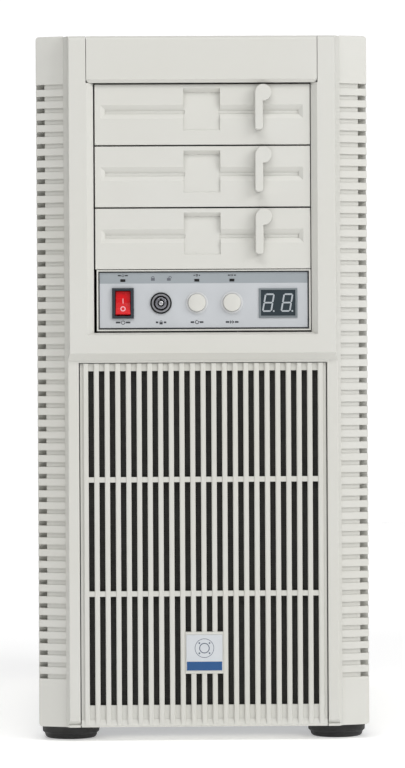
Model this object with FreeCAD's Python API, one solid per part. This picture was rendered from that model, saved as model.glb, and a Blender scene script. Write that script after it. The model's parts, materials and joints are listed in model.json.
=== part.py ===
"""Desktop computer tower in a retro style: an assembly of separate pieces, in millimetres.

Frame: +Z up, the front faces -Y, +X is to the right of someone who looks at the front.
Origin: on the surface that the feet stand on, under the middle of the overall box.

From the front backwards it holds a moulded front bezel with two ribbed flanks, a flip-up door over
the front ports, three faceplates with turning levers, a control module, a slatted intake grille
with its dust filter, a sheet steel chassis, the fans, the main board with its cooler, memory and
graphics card, the power supply, a hard drive, two sliding side panels and four rubber feet.
"""

import FreeCAD, Part
import math
import os

# ---------------------------------------------------------------- driving dimensions
HEIGHT = 487.2  # floor to the top of the flanks
FLANK_OUTER = 114.5  # half of the overall width, over the ribs of the flanks
BODY_DEPTH = 490.0  # bezel's front plane to the rear panel's outer face
BEZEL_DEPTH = 46.0
FOOT_HEIGHT = 10.2
SHEET = 1.0  # steel sheet
WALL = 2.5  # moulded wall
GAP = 0.4  # clearance beside a piece that moves

LEVER_PROUD = 2.3  # lever face, in front of the bezel's front plane
SCREW_PROUD = 7.0  # thumbscrew head, behind the rear panel
FLANK_RISE = 0.7  # top of the flanks, above the rest of the bezel

FRONT = -(LEVER_PROUD + BODY_DEPTH + SCREW_PROUD) / 2 + LEVER_PROUD
REAR = FRONT + BODY_DEPTH
CHASSIS_FRONT = FRONT + BEZEL_DEPTH
BOTTOM = FOOT_HEIGHT
TOP = HEIGHT - FLANK_RISE

# bezel, across
DOOR_HALF = 79.4
PILASTER_HALF = 91.6
KNEE_HALF = 92.9  # where the steep side turns outward, at the depth of the lower front
FLANK_INNER = 95.5
SKIRT_HALF = 114.0  # behind the ribs
FLANK_CORNER = 2.2
FLANK_START = 10.0  # flank face behind the front plane, at its inner edge: the steep side ends there
TOP_ROUND = 3.0  # along the top front edge of the bezel and its door
FLANK_SLOPE = 6.5  # further back at its outer edge
FLANK_SOLID = 26.0  # the ribbed corner is solid this far back
POCKET_BACK = 24.0

# grooves in the flanks
GROOVE_COUNT = 51
GROOVE_PITCH = 8.15
GROOVE_TALL = 3.4
GROOVE_DEEP = 1.2
GROOVE_FIRST_Z = 452.4  # middle of the top groove
POCKET_INNER = 108.4

# bays
BAY_PITCH = 42.8
BAY_BOTTOM = 282.7
BAY_COUNT = 4
BAY_TOP = BAY_BOTTOM + BAY_COUNT * BAY_PITCH
OPENING_X0, OPENING_X1 = -74.85, 75.2
OPENING_BOTTOM = BAY_BOTTOM - 0.4
COVER_X0, COVER_X1 = -73.85, 74.6
COVER_TALL = 41.8
COVER_THICK = 4.6
COVER_PLANE = FRONT + 4.2
BEZEL_FRONT_WALL = 8.5

# faceplate details, from the middle of the faceplate
TRENCH_END = 69.8
# depth, inset at the end, low and high edge of each step down into the trench
TRENCH_STEPS = ((0.0, 0.0, -2.9, 6.6), (1.8, 2.9, 0.2, 3.7), (2.8, 3.1, 0.5, 2.5))
NOTCH_HALF = 12.65
LEVER_X = 42.2
LEVER_Z = 14.7
LEVER_HEAD_R = 5.7
LEVER_ARM_WIDE = 5.5
LEVER_ARM_LONG = 25.6
LEVER_GAP = 1.0
LEVER_THICK = 5.5
SHAFT_R = 2.5

# lower front
LOWER_PLANE = FRONT + 5.0
STEP_TOP = 268.1
STEP_BOTTOM = 263.1
GRILLE_HALF = 84.9
GRILLE_TOP = 261.1
GRILLE_BOTTOM = FOOT_HEIGHT
RIB_COUNT = 23
RIB_PITCH = 7.36
RIB_WIDE = 3.5
RIB_PROUD = 1.6
GRILLE_PLATE = 2.6
GRILLE_GAP = 0.7
SLOT_BOTTOM = 25.2
SLOT_TOP = 255.9
BAR_TALL = 3.6
BAR_ZS = (102.1, 180.9)
BADGE_Z = 61.3
BADGE_SIDE = 25.0

# port door
DOOR_BOTTOM = BAY_TOP + 0.3
DOOR_SKIN = 2.5
HINGE_Y = FRONT + 30.0
HINGE_R = 3.0
HINGE_Z = TOP - HINGE_R
PIN_R = 1.5
PORT_FACE = FRONT + 11.0
PORT_Z = 467.0
USB_XS = (-38.0, -14.0)
USB_C_X = 10.0
JACK_X = 34.0
USB_WIDE, USB_TALL, USB_WALL, USB_DEEP = 13.1, 5.7, 0.4, 14.0
USB_C_HALF, USB_C_R = 2.85, 1.65
JACK_HOLE_R, JACK_BODY_R, JACK_DEEP = 1.8, 3.2, 14.0

# control module, positions on its face
CONTROL_Z = BAY_BOTTOM + BAY_PITCH / 2
PLATE_FACE = COVER_PLANE + 1.4
PLATE_THICK = 0.8
SWITCH_X, SWITCH_Z = -54.9, 302.6
LOCK_X, LOCK_Z = -28.7, 302.6
RESET_X, TURBO_X, BUTTON_Z = -3.9, 20.3, 302.8
DISPLAY_X, DISPLAY_Z = 52.1, 302.5
LIGHT_XS, LIGHT_Z = (SWITCH_X, RESET_X, TURBO_X), 318.3
BUTTON_R = 6.1
COLLAR_R = 7.6
SWITCH_FLANGE = (7.5, 10.5)  # half width and half height
SWITCH_BODY = (6.4, 9.5)
SWITCH_HOLE = (5.35, 8.8)
ROCKER_WIDE = 10.3
ROCKER_END_R = 8.6  # the rocker's two ends are arcs about its pivot
ROCKER_PIVOT_Y = PLATE_FACE + 2.6
ROCKER_TILT = 9.0
LOCK_FLANGE_R, LOCK_BODY_R, LOCK_BORE_R = 7.4, 6.3, 5.2
LOCK_BOSS_R, LOCK_KEYWAY_R, LOCK_PIN_R = 4.0, 2.4, 1.6
DISPLAY_HALF = (11.8, 8.8)  # half width and half height of the window
DISPLAY_BODY = (12.3, 9.3)
FRAME_X0, FRAME_X1 = -72.95, 74.6  # the control module's frame
FRAME_Z0, FRAME_Z1 = CONTROL_Z - 20.7, CONTROL_Z + 21.4
FRAME_RIM = 1.1
PLATE_X0, PLATE_X1 = -70.9, 72.4
PLATE_Z0, PLATE_Z1 = CONTROL_Z - 18.4, CONTROL_Z + 19.6

# chassis and what it holds
CHASSIS_HALF = 112.0
PANEL_HALF = 113.9
CHASSIS_TOP = TOP - 1.0
CAGE_DEPTH = 172.0
CAGE_HALF = 74.9
FAN_SIZE = 120.0
FAN_DEPTH = 25.0
FAN_LOW_Z, FAN_HIGH_Z = 82.0, 204.0
FAN_BACK_X, FAN_BACK_Z = -32.0, 368.0
TRAY_X = 88.0
STANDOFF = 6.5
BOARD_THICK = 1.6
BOARD_FACE = TRAY_X - STANDOFF - BOARD_THICK
BOARD_LOW, BOARD_TALL, BOARD_DEEP = 118.0, 305.0, 244.0
BOARD_BACK = REAR - 4.0
SLOT_PITCH = 20.32
SLOT_COUNT = 7
SLOT_LOW_Z = BOARD_LOW + 10.0
IO_LOW, IO_TALL, IO_WIDE = 262.6, 158.75, 44.45
IO_X1 = BOARD_FACE + 2.2
IO_X0 = IO_X1 - IO_WIDE
# rear ports: height above the shield's foot, how tall, how far out from the board
REAR_PORTS = ((8, 14, 32), (28, 16, 28), (50, 16, 30), (72, 20, 28), (98, 15, 22), (120, 28, 24))
PSU_HALF, PSU_TALL, PSU_DEEP = 75.0, 86.0, 150.0
PSU_LOW = BOTTOM + SHEET
PSU_BACK = REAR - SHEET
PSU_FAN_Y = PSU_BACK - PSU_DEEP / 2 - 4
PSU_FAN_SIZE = 110.0
INLET_X, INLET_Z = 42.0, PSU_LOW + PSU_TALL - 26
PSU_SWITCH_X = INLET_X - 30
PSU_ROCKER_Y = PSU_BACK - 1.6
CARD_Z = SLOT_LOW_Z + 6 * SLOT_PITCH
CARD_LONG, CARD_TALL = 262.0, 111.0
CARD_THICK = 36.0
CARD_FAN = 88.0
CARD_FAN_X = BOARD_FACE - 8 - CARD_TALL / 2 - 2
CARD_FAN_YS = (REAR - 82.0, REAR - 200.0)
COOLER_Y = REAR - 108.0
COOLER_Z = 352.0
FIN_COUNT = 21
FIN_PITCH = 5.0
FIN_FIRST_X = 34.0
FIN_THICK = 0.7
FIN_HALF = (24.0, 60.0)  # half depth and half height
CPU_FAN_X = FIN_FIRST_X - (FIN_COUNT - 1) * FIN_PITCH / 2
CPU_FAN_Y = COOLER_Y - FIN_HALF[0] - FAN_DEPTH - 0.5
DIMM_YS = tuple(COOLER_Y - 62 - 9.5 * i for i in range(4))
DIMM_Z0, DIMM_Z1 = COOLER_Z - 66, COOLER_Z + 67
SCREW_X = 108.5
SCREW_ZS = (60.0, 452.0)
FOOT_X = 93.0
FOOT_YS = (FRONT + 42.0, REAR - 46.0)

OUT = "parts"


# ---------------------------------------------------------------- shape helpers
def vec(x, y, z):
    return FreeCAD.Vector(x, y, z)


def block(x0, x1, y0, y1, z0, z1):
    return Part.makeBox(x1 - x0, y1 - y0, z1 - z0, vec(x0, y0, z0))


def rod(radius, start, length, direction):
    return Part.makeCylinder(radius, length, vec(*start), vec(*direction))


def face_of(points):
    return Part.Face(Part.makePolygon([vec(*p) for p in points + points[:1]]))


def prism_z(points, z0, z1):
    """Outline in (x, y), from z0 to z1."""
    return face_of([(x, y, z0) for x, y in points]).extrude(vec(0, 0, z1 - z0))


def prism_x(points, x0, x1):
    """Outline in (y, z), from x0 to x1."""
    return face_of([(x0, y, z) for y, z in points]).extrude(vec(x1 - x0, 0, 0))


def prism_y(points, y0, y1):
    """Outline in (x, z), from y0 to y1."""
    return face_of([(x, y0, z) for x, z in points]).extrude(vec(0, y1 - y0, 0))


def taper_y(outer, inner, y0, y1):
    """Solid between two rectangles (x0, x1, z0, z1): outer at y0 and inner at y1."""

    def ring(rect, y):
        x0, x1, z0, z1 = rect
        corners = [(x0, z0), (x1, z0), (x1, z1), (x0, z1), (x0, z0)]
        return Part.makePolygon([vec(x, y, z) for x, z in corners])

    return Part.makeLoft([ring(outer, y0), ring(inner, y1)], True, True)


def capsule_y(x, z, half, radius, y0, y1):
    """Slot with round ends along X, through from y0 to y1."""
    body = block(x - half, x + half, y0, y1, z - radius, z + radius)
    ends = [rod(radius, (x + s * half, y0, z), y1 - y0, (0, 1, 0)) for s in (-1, 1)]
    return body.fuse(ends).removeSplitter()


def join(shapes):
    return shapes[0].fuse(shapes[1:]).removeSplitter()


def carve(body, cutters):
    return body.cut(Part.makeCompound(cutters))


def mirror_x(shape):
    return shape.mirror(vec(0, 0, 0), vec(1, 0, 0))


def soften(shape, size, wanted, fillet=True):
    """Rounds, or chamfers, the edges whose middle point passes the test."""
    edges = [e for e in shape.Edges if wanted(e.CenterOfMass, e)]
    return shape.makeFillet(size, edges) if fillet else shape.makeChamfer(size, edges)


def near(a, b, by=0.05):
    return abs(a - b) < by


def save(name, *solids):
    """Writes one node: a group of one or more separate solids."""
    shape = solids[0] if len(solids) == 1 else Part.makeCompound(list(solids))
    for solid in shape.Solids:
        if not solid.isValid():
            raise ValueError(name + " has a solid that is not valid")
    shape.exportStep(os.path.join(OUT, name + ".step"))
    print(f"{name}: {len(shape.Solids)} solid(s), {shape.Volume / 1000:.1f} cm3")


# ---------------------------------------------------------------- front bezel
def front_bezel():
    """Centre moulding: pilasters, the frame round the bays, the sloped step and the lower legs."""
    side = FRONT + FLANK_START
    outline = [
        (-PILASTER_HALF, FRONT),
        (PILASTER_HALF, FRONT),
        (KNEE_HALF, LOWER_PLANE),
        (FLANK_INNER, side),
        (FLANK_INNER, CHASSIS_FRONT),
        (-FLANK_INNER, CHASSIS_FRONT),
        (-FLANK_INNER, side),
        (-KNEE_HALF, LOWER_PLANE),
    ]
    body = prism_z(outline, BOTTOM, TOP)
    body = soften(body, 0.6, lambda c, e: near(abs(c.x), PILASTER_HALF) and near(c.y, FRONT))
    body = carve(body, [top_rounding(), lower_step(), bezel_cavity()] + bay_opening())
    body = join([body] + door_cheeks() + hinge_bosses())
    body = carve(body, [door_recess(), grille_recess(), hinge_bore()])
    edge = GRILLE_HALF + GRILLE_GAP
    body = soften(body, 0.7, lambda c, e: near(c.y, LOWER_PLANE) and near(abs(c.x), edge) and e.Length > 50)

    def lower_corner(c, e):
        return near(c.y, LOWER_PLANE) and near(abs(c.x), KNEE_HALF) and c.z < STEP_BOTTOM and e.Length > 50

    return in_blocks(soften(body, 0.6, lower_corner))


def in_blocks(body):
    """The moulding as touching blocks: legs, step bar, posts, and the walls behind them."""
    back = FRONT + BEZEL_FRONT_WALL
    inner, side = FLANK_INNER - WALL, DOOR_HALF + GAP
    heights = (BOTTOM, GRILLE_TOP + 0.5, OPENING_BOTTOM, BAY_TOP + 0.2, TOP)
    widths = (-FLANK_INNER, -inner, -side, side, inner, FLANK_INNER)
    cells = [block(-FLANK_INNER, FLANK_INNER, FRONT, back, z0, z1) for z0, z1 in zip(heights, heights[1:])]
    cells += [block(x0, x1, back, CHASSIS_FRONT, BOTTOM, TOP) for x0, x1 in zip(widths, widths[1:])]
    return [solid for cell in cells for solid in body.common(cell).Solids]


def top_rounding():
    """What is cut away outside the rounding along the top front edge."""
    half, y, z = FLANK_INNER + 1, FRONT + TOP_ROUND, TOP - TOP_ROUND
    corner = block(-half, half, FRONT - 1, y, z, TOP + 1)
    return corner.cut(rod(TOP_ROUND, (-half, y, z), 2 * half, (1, 0, 0)))


def lower_step():
    """What is cut away in front of the lower half, down to the small lip along its foot."""
    below = BOTTOM - 1
    return prism_x(
        [
            (FRONT - 1, below),
            (LOWER_PLANE + 0.6, below),
            (LOWER_PLANE + 0.6, BOTTOM + 1.5),
            (LOWER_PLANE + 2.2, BOTTOM + 1.8),
            (LOWER_PLANE, BOTTOM + 4.6),
            (LOWER_PLANE, STEP_BOTTOM),
            (FRONT, STEP_TOP),
            (FRONT - 1, STEP_TOP),
        ],
        -FLANK_INNER - 1,
        FLANK_INNER + 1,
    )


def bezel_cavity():
    inner = FLANK_INNER - WALL
    return block(-inner, inner, FRONT + BEZEL_FRONT_WALL, CHASSIS_FRONT + 1, BOTTOM + WALL, TOP - WALL)


def bay_opening():
    """Straight opening for the bays, and the sloped sides that lead into it."""
    x0, x1, top = OPENING_X0, OPENING_X1, BAY_TOP + 0.3
    straight = block(x0, x1, FRONT - 1, FRONT + BEZEL_FRONT_WALL + 1, OPENING_BOTTOM, top)
    outer = (-DOOR_HALF, DOOR_HALF, OPENING_BOTTOM - 1.7, top)
    return [straight, taper_y(outer, (x0, x1, OPENING_BOTTOM, top), FRONT, COVER_PLANE)]


def door_recess():
    side = DOOR_HALF + GAP
    return block(-side, side, FRONT - 1, HINGE_Y + HINGE_R + GAP, BAY_TOP + 0.2, TOP + 1)


def door_cheeks():
    """Inner walls that close the door's recess at both sides."""
    side = DOOR_HALF + GAP
    cheek = block(side, side + 2, FRONT + 6, CHASSIS_FRONT, BAY_TOP + 0.2, TOP - 1)
    return [mirror_x(cheek), cheek]


def hinge_bosses():
    side = DOOR_HALF + GAP
    boss = block(side, side + 6, HINGE_Y - 5, HINGE_Y + 5, HINGE_Z - 5, TOP - 1)
    return [mirror_x(boss), boss]


def hinge_bore():
    half = DOOR_HALF + GAP + 4.2
    return rod(PIN_R + 0.06, (-half, HINGE_Y, HINGE_Z), 2 * half, (1, 0, 0))


def grille_recess():
    side = GRILLE_HALF + GRILLE_GAP
    return block(-side, side, FRONT, FRONT + 20, BOTTOM - 1, GRILLE_TOP + 0.5)


def flank_face(x):
    """Y of the flank's slanted face at x."""
    return FRONT + FLANK_START + FLANK_SLOPE * (x - FLANK_INNER) / (FLANK_OUTER - FLANK_INNER)


def flank_outline():
    """Front view of the flank: its outer corners are round."""
    outline = block(FLANK_INNER, FLANK_OUTER, FRONT, CHASSIS_FRONT, BOTTOM, HEIGHT)
    mid_y = FRONT + BEZEL_DEPTH / 2
    return soften(outline, FLANK_CORNER, lambda c, e: near(c.x, FLANK_OUTER) and near(c.y, mid_y))


def flank():
    """Right-hand ribbed flank: a slanted face with grooves that open into pockets at the corner."""
    outline = [
        (FLANK_INNER, flank_face(FLANK_INNER)),
        (FLANK_OUTER, flank_face(FLANK_OUTER)),
        (FLANK_OUTER, FRONT + POCKET_BACK + 0.4),
        (SKIRT_HALF, FRONT + POCKET_BACK + 1.3),
        (SKIRT_HALF, CHASSIS_FRONT),
        (FLANK_INNER, CHASSIS_FRONT),
    ]
    body = prism_z(outline, BOTTOM, HEIGHT)
    body = soften(body, 0.7, lambda c, e: near(c.x, FLANK_OUTER) and c.y < FRONT + 20 and e.Length > 100)
    body = soften(body, 0.8, lambda c, e: near(c.z, HEIGHT) and c.y < FRONT + 17 and c.x < FLANK_OUTER - 3)
    body = body.common(flank_outline())
    inner = FLANK_INNER + WALL
    corner = POCKET_INNER - WALL
    cavity = prism_z(
        [
            (inner, FRONT + FLANK_START + 6),
            (corner, flank_face(corner) + 5),
            (corner, FRONT + FLANK_SOLID),
            (SKIRT_HALF - WALL, FRONT + FLANK_SOLID),
            (SKIRT_HALF - WALL, CHASSIS_FRONT + 1),
            (inner, CHASSIS_FRONT + 1),
        ],
        BOTTOM + WALL,
        TOP - WALL,
    )
    cutters = [cavity]
    past = SKIRT_HALF + 1
    for i in range(GROOVE_COUNT):
        z = GROOVE_FIRST_Z - i * GROOVE_PITCH
        low, high = z - GROOVE_TALL / 2, z + GROOVE_TALL / 2
        groove = [
            (FLANK_INNER - 1, flank_face(FLANK_INNER - 1) - 2),
            (past, flank_face(past) - 2),
            (past, flank_face(past) + GROOVE_DEEP),
            (FLANK_INNER - 1, flank_face(FLANK_INNER - 1) + GROOVE_DEEP),
        ]
        cutters.append(prism_z(groove, low, high))
        cutters.append(block(POCKET_INNER, past, FRONT + 8, FRONT + POCKET_BACK, low, high))
    return carve(body, cutters)


# ---------------------------------------------------------------- port door and front ports
def port_door():
    """Flip-up door: front skin, top skin and a round hinge edge with a pin at each end."""
    skin = block(-DOOR_HALF, DOOR_HALF, FRONT, FRONT + DOOR_SKIN, DOOR_BOTTOM, TOP)
    top = block(-DOOR_HALF, DOOR_HALF, FRONT, HINGE_Y, TOP - DOOR_SKIN, TOP)
    edge = rod(HINGE_R, (-DOOR_HALF, HINGE_Y, HINGE_Z), 2 * DOOR_HALF, (1, 0, 0))
    body = join([skin, top, edge])
    under = prism_x(
        [
            (FRONT - 1, DOOR_BOTTOM - 1),
            (FRONT + 1.6, DOOR_BOTTOM - 1),
            (FRONT + 1.6, DOOR_BOTTOM),
            (FRONT, DOOR_BOTTOM + 2.4),
            (FRONT - 1, DOOR_BOTTOM + 2.4),
        ],
        -DOOR_HALF - 1,
        DOOR_HALF + 1,
    )
    body = soften(body, TOP_ROUND, lambda c, e: near(c.y, FRONT) and near(c.z, TOP) and e.Length > 50)
    body = soften(body, 2.4, lambda c, e: near(abs(c.x), DOOR_HALF) and near(c.z, DOOR_BOTTOM))
    body = carve(body, [under])
    pins = [
        rod(PIN_R, (s * (DOOR_HALF - 3), HINGE_Y, HINGE_Z), 3 + GAP + 3.5, (s, 0, 0)) for s in (-1, 1)
    ]
    return join([body] + pins)


def port_module():
    """Housing behind the door, open at the back, with a wall that the sockets look through."""
    side = DOOR_HALF + GAP
    low, high = DOOR_BOTTOM + 0.3, HINGE_Z - HINGE_R - 0.6
    back = FRONT + 42
    body = block(-side, side, PORT_FACE, back, low, high)
    cavity = block(-side + 2, side - 2, PORT_FACE + 2, back + 1, low + 2, high - 2)
    holes = [socket_hole(x) for x in USB_XS]
    holes.append(capsule_y(USB_C_X, PORT_Z, USB_C_HALF, USB_C_R, PORT_FACE - 1, PORT_FACE + 3))
    holes.append(rod(JACK_BODY_R, (JACK_X, PORT_FACE - 1, PORT_Z), 4, (0, 1, 0)))
    return carve(body, [cavity] + holes)


def socket_hole(x):
    wide, tall = USB_WIDE / 2, USB_TALL / 2
    return block(x - wide, x + wide, PORT_FACE - 1, PORT_FACE + 3, PORT_Z - tall, PORT_Z + tall)


def usb_sockets():
    """Two flat sockets and one small reversible one, each a metal shell round a tongue."""
    pieces = []
    start, back = PORT_FACE - 0.3, PORT_FACE + USB_DEEP
    wide, tall = USB_WIDE / 2, USB_TALL / 2
    for x in USB_XS:
        shell = block(x - wide, x + wide, start, back, PORT_Z - tall, PORT_Z + tall)
        room = block(
            x - wide + USB_WALL,
            x + wide - USB_WALL,
            start - 1,
            back - 1.5,
            PORT_Z - tall + USB_WALL,
            PORT_Z + tall - USB_WALL,
        )
        tongue = block(x - 5.5, x + 5.5, start + 2.5, back - 1, PORT_Z + 0.1, PORT_Z + 1.9)
        pieces.append(join([shell.cut(room), tongue]))
    shell = capsule_y(USB_C_X, PORT_Z, USB_C_HALF, USB_C_R, start, PORT_FACE + 9)
    room = capsule_y(USB_C_X, PORT_Z, USB_C_HALF, USB_C_R - 0.3, start - 1, PORT_FACE + 8)
    tongue = block(USB_C_X - 3.3, USB_C_X + 3.3, start + 2, PORT_FACE + 8.5, PORT_Z - 0.35, PORT_Z + 0.35)
    pieces.append(join([shell.cut(room), tongue]))
    return pieces


def audio_jack():
    body = rod(JACK_BODY_R, (JACK_X, PORT_FACE - 0.3, PORT_Z), JACK_DEEP + 2, (0, 1, 0))
    return body.cut(rod(JACK_HOLE_R, (JACK_X, PORT_FACE - 1, PORT_Z), JACK_DEEP + 0.7, (0, 1, 0)))


# ---------------------------------------------------------------- bay faceplates and levers
def bay_middle(row):
    """Height of the middle of bay row, counted from the top."""
    return BAY_TOP - (row + 0.5) * BAY_PITCH


def bay_cover(row):
    """Faceplate with a finger notch, a chamfered trench with a slot in it, and two rear arms."""
    z = bay_middle(row)
    front, back = COVER_PLANE, COVER_PLANE + COVER_THICK
    x0, x1 = COVER_X0, COVER_X1
    plate = block(x0, x1, front, back, z - COVER_TALL / 2, z + COVER_TALL / 2)
    plate = soften(plate, 0.5, lambda c, e: near(c.y, front))
    low, deepest, high = z - 11.0, z + 15.4, z + 18.1
    profile = [(front, low), (front + 0.8, low + 0.6), (front + 3.5, deepest), (front, high)]
    notch = prism_x(profile + [(front - 1, high), (front - 1, low)], -NOTCH_HALF, NOTCH_HALF)
    cutters = [notch]
    for s in (-1, 1):
        steps = []
        for depth, inset, step_low, step_high in TRENCH_STEPS:
            a, b = sorted((s * (NOTCH_HALF - 1), s * (TRENCH_END - inset)))
            steps.append((front + depth, (a, b, z + step_low, z + step_high)))
        for (y0, outer), (y1, inner) in zip(steps, steps[1:]):
            cutters.append(taper_y(outer, inner, y0, y1))
    cutters.append(rod(SHAFT_R + 0.06, (LEVER_X, front - 1, z + LEVER_Z), COVER_THICK + 2, (0, 1, 0)))
    plate = carve(plate, cutters)
    arms = [
        block(x0 + 0.4, x0 + 2.0, back - 1, front + 22, z - 12, z + 8),
        block(x1 - 2.0, x1 - 0.4, back - 1, front + 22, z - 12, z + 8),
    ]
    return join([plate] + arms)


def bay_lever(row):
    """Latch lever: a round head with an arm that hangs across the slot, a shaft and a rear cam."""
    x, z = LEVER_X, bay_middle(row) + LEVER_Z
    back = COVER_PLANE - LEVER_GAP
    front = back - LEVER_THICK
    left = x - LEVER_HEAD_R
    head = rod(LEVER_HEAD_R, (x, front, z), LEVER_THICK, (0, 1, 0))
    low = z - LEVER_ARM_LONG
    arm = prism_y(
        [
            (left, z),
            (left, low + 1.2),
            (left + 1.2, low),
            (left + LEVER_ARM_WIDE - 1.2, low),
            (left + LEVER_ARM_WIDE, low + 1.2),
            (left + LEVER_ARM_WIDE, z),
        ],
        front,
        back,
    )
    grip = join([head, arm])
    grip = soften(grip, 0.7, lambda c, e: near(c.y, front))
    plate_back = COVER_PLANE + COVER_THICK
    shaft = rod(SHAFT_R, (x, back - 0.5, z), LEVER_GAP + COVER_THICK + 2.5, (0, 1, 0))
    hub = rod(4.5, (x, plate_back + 0.3, z), 2.0, (0, 1, 0))
    lobe = block(x - 2.2, x + 2.2, plate_back + 0.3, plate_back + 2.3, z - 9, z)
    return join([grip, shaft, hub, lobe])


# ---------------------------------------------------------------- control module
def control_holes(y0, y1):
    """Cutters for everything that comes through the control module's face."""
    sx, sz = SWITCH_BODY
    dx, dz = (half + 0.1 for half in DISPLAY_BODY)
    cutters = [
        block(SWITCH_X - sx, SWITCH_X + sx, y0, y1, SWITCH_Z - sz, SWITCH_Z + sz),
        rod(LOCK_BODY_R, (LOCK_X, y0, LOCK_Z), y1 - y0, (0, 1, 0)),
        block(DISPLAY_X - dx, DISPLAY_X + dx, y0, y1, DISPLAY_Z - dz, DISPLAY_Z + dz),
    ]
    for x in LIGHT_XS:
        cutters.append(block(x - 1.75, x + 1.75, y0, y1, LIGHT_Z - 0.95, LIGHT_Z + 0.95))
    return cutters


def control_frame():
    """Bay-sized tray with a thin raised rim, a backing wall and two button collars."""
    wall = PLATE_FACE + PLATE_THICK
    rim = FRAME_RIM
    body = block(FRAME_X0, FRAME_X1, COVER_PLANE, COVER_PLANE + 20, FRAME_Z0, FRAME_Z1)
    body = soften(body, 0.3, lambda c, e: near(c.y, COVER_PLANE))
    window = block(FRAME_X0 + rim, FRAME_X1 - rim, COVER_PLANE - 1, wall, FRAME_Z0 + rim, FRAME_Z1 - 0.9)
    cavity = block(FRAME_X0 + 2, FRAME_X1 - 2, wall + 2, COVER_PLANE + 21, FRAME_Z0 + 2, FRAME_Z1 - 2)
    body = carve(body, [window, cavity])
    collars = [
        rod(COLLAR_R, (x, PLATE_FACE - 0.5, BUTTON_Z), wall + 2 - PLATE_FACE + 4, (0, 1, 0))
        for x in (RESET_X, TURBO_X)
    ]
    collars = [soften(c, 0.35, lambda p, e: near(p.y, PLATE_FACE - 0.5)) for c in collars]
    body = join([body] + collars)
    bores = [
        rod(BUTTON_R + 0.15, (x, PLATE_FACE - 2, BUTTON_Z), 30, (0, 1, 0)) for x in (RESET_X, TURBO_X)
    ]
    return carve(body, control_holes(wall - 0.5, wall + 3) + bores)


def control_plate():
    """Thin face plate, clear of the rim all round."""
    plate = block(PLATE_X0, PLATE_X1, PLATE_FACE, PLATE_FACE + PLATE_THICK, PLATE_Z0, PLATE_Z1)
    y0, y1 = PLATE_FACE - 1, PLATE_FACE + 2
    rings = [rod(COLLAR_R, (x, y0, BUTTON_Z), 3, (0, 1, 0)) for x in (RESET_X, TURBO_X)]
    return carve(plate, control_holes(y0, y1) + rings)


def power_switch_housing():
    """Flange and body of the switch, with the deep hole that its rocker turns in."""
    x, z, face = SWITCH_X, SWITCH_Z, PLATE_FACE - 1.8
    fx, fz = SWITCH_FLANGE
    sx, sz = SWITCH_BODY
    hx, hz = SWITCH_HOLE
    flange = block(x - fx, x + fx, face, PLATE_FACE, z - fz, z + fz)
    flange = soften(flange, 0.5, lambda c, e: near(c.y, face))
    body = block(x - sx, x + sx, PLATE_FACE - 0.5, PLATE_FACE + 16, z - sz, z + sz)
    room = block(x - hx, x + hx, face - 1, PLATE_FACE + 14, z - hz, z + hz)
    return join([flange, body]).cut(room)


def power_rocker():
    """Rocker with a shallow V face and round ends, at rest with its upper half pressed in."""
    y, z = ROCKER_PIVOT_Y, SWITCH_Z
    x0, x1 = SWITCH_X - ROCKER_WIDE / 2, SWITCH_X + ROCKER_WIDE / 2
    reach = ROCKER_END_R + 1
    profile = [
        (y - 3.5, z + reach),
        (y - 2.3, z),
        (y - 3.5, z - reach),
        (y + 0.5, z - reach),
        (y + 6.0, z - 3),
        (y + 6.0, z + 3),
        (y + 0.5, z + reach),
    ]
    body = prism_x(profile, x0, x1).common(rod(ROCKER_END_R, (x0, y, z), ROCKER_WIDE, (1, 0, 0)))
    body = soften(body, 0.4, lambda c, e: c.y < y - 2.4 and abs(c.z - z) > 2)
    body.rotate(vec(SWITCH_X, y, z), vec(1, 0, 0), -ROCKER_TILT)
    return body


def lock_housing():
    """Ring with a bevelled flange, round the lock's bore."""
    face = PLATE_FACE - 2.0
    flange = rod(LOCK_FLANGE_R, (LOCK_X, face, LOCK_Z), 2.0, (0, 1, 0))
    flange = soften(flange, 1.2, lambda c, e: near(c.y, face), fillet=False)
    body = rod(LOCK_BODY_R, (LOCK_X, PLATE_FACE - 1, LOCK_Z), 17, (0, 1, 0))
    bore = rod(LOCK_BORE_R, (LOCK_X, PLATE_FACE - 3, LOCK_Z), 22, (0, 1, 0))
    return join([flange, body]).cut(bore)


def lock_cylinder():
    """Turning plug: a boss with a ring-shaped keyway round its pin, and a cam at its rear end."""
    face = PLATE_FACE - 1.7
    plug = rod(LOCK_BORE_R - 0.06, (LOCK_X, face + 3.0, LOCK_Z), 17.5, (0, 1, 0))
    boss = rod(LOCK_BOSS_R, (LOCK_X, face, LOCK_Z), 6, (0, 1, 0))
    boss = soften(boss, 0.5, lambda c, e: near(c.y, face))
    keyway = rod(LOCK_KEYWAY_R, (LOCK_X, face - 1, LOCK_Z), 7, (0, 1, 0))
    key_notch = block(LOCK_X - 0.6, LOCK_X + 0.6, face - 1, face + 6, LOCK_Z, LOCK_Z + 3.3)
    pin = rod(LOCK_PIN_R, (LOCK_X, face + 0.3, LOCK_Z), 8, (0, 1, 0))
    pin = soften(pin, 0.6, lambda c, e: near(c.y, face + 0.3))
    plug = carve(join([plug, boss]), [keyway, key_notch])
    cam = block(LOCK_X - 3.5, LOCK_X + 3.5, face + 19.2, face + 20.5, LOCK_Z - 3.5, LOCK_Z + 13)
    return join([plug, pin, cam])


def push_button(x):
    face = PLATE_FACE - 3.4
    cap = rod(BUTTON_R, (x, face, BUTTON_Z), 9.5, (0, 1, 0))
    dome_r = 26.0
    dome = Part.makeSphere(dome_r, vec(x, face + dome_r, BUTTON_Z))
    cap = cap.common(dome)
    cap = soften(cap, 0.5, lambda c, e: c.y < face + 1.5 and e.Length > 30)
    stem = rod(2.0, (x, face + 9, BUTTON_Z), 14.5, (0, 1, 0))
    return join([cap, stem])


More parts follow.
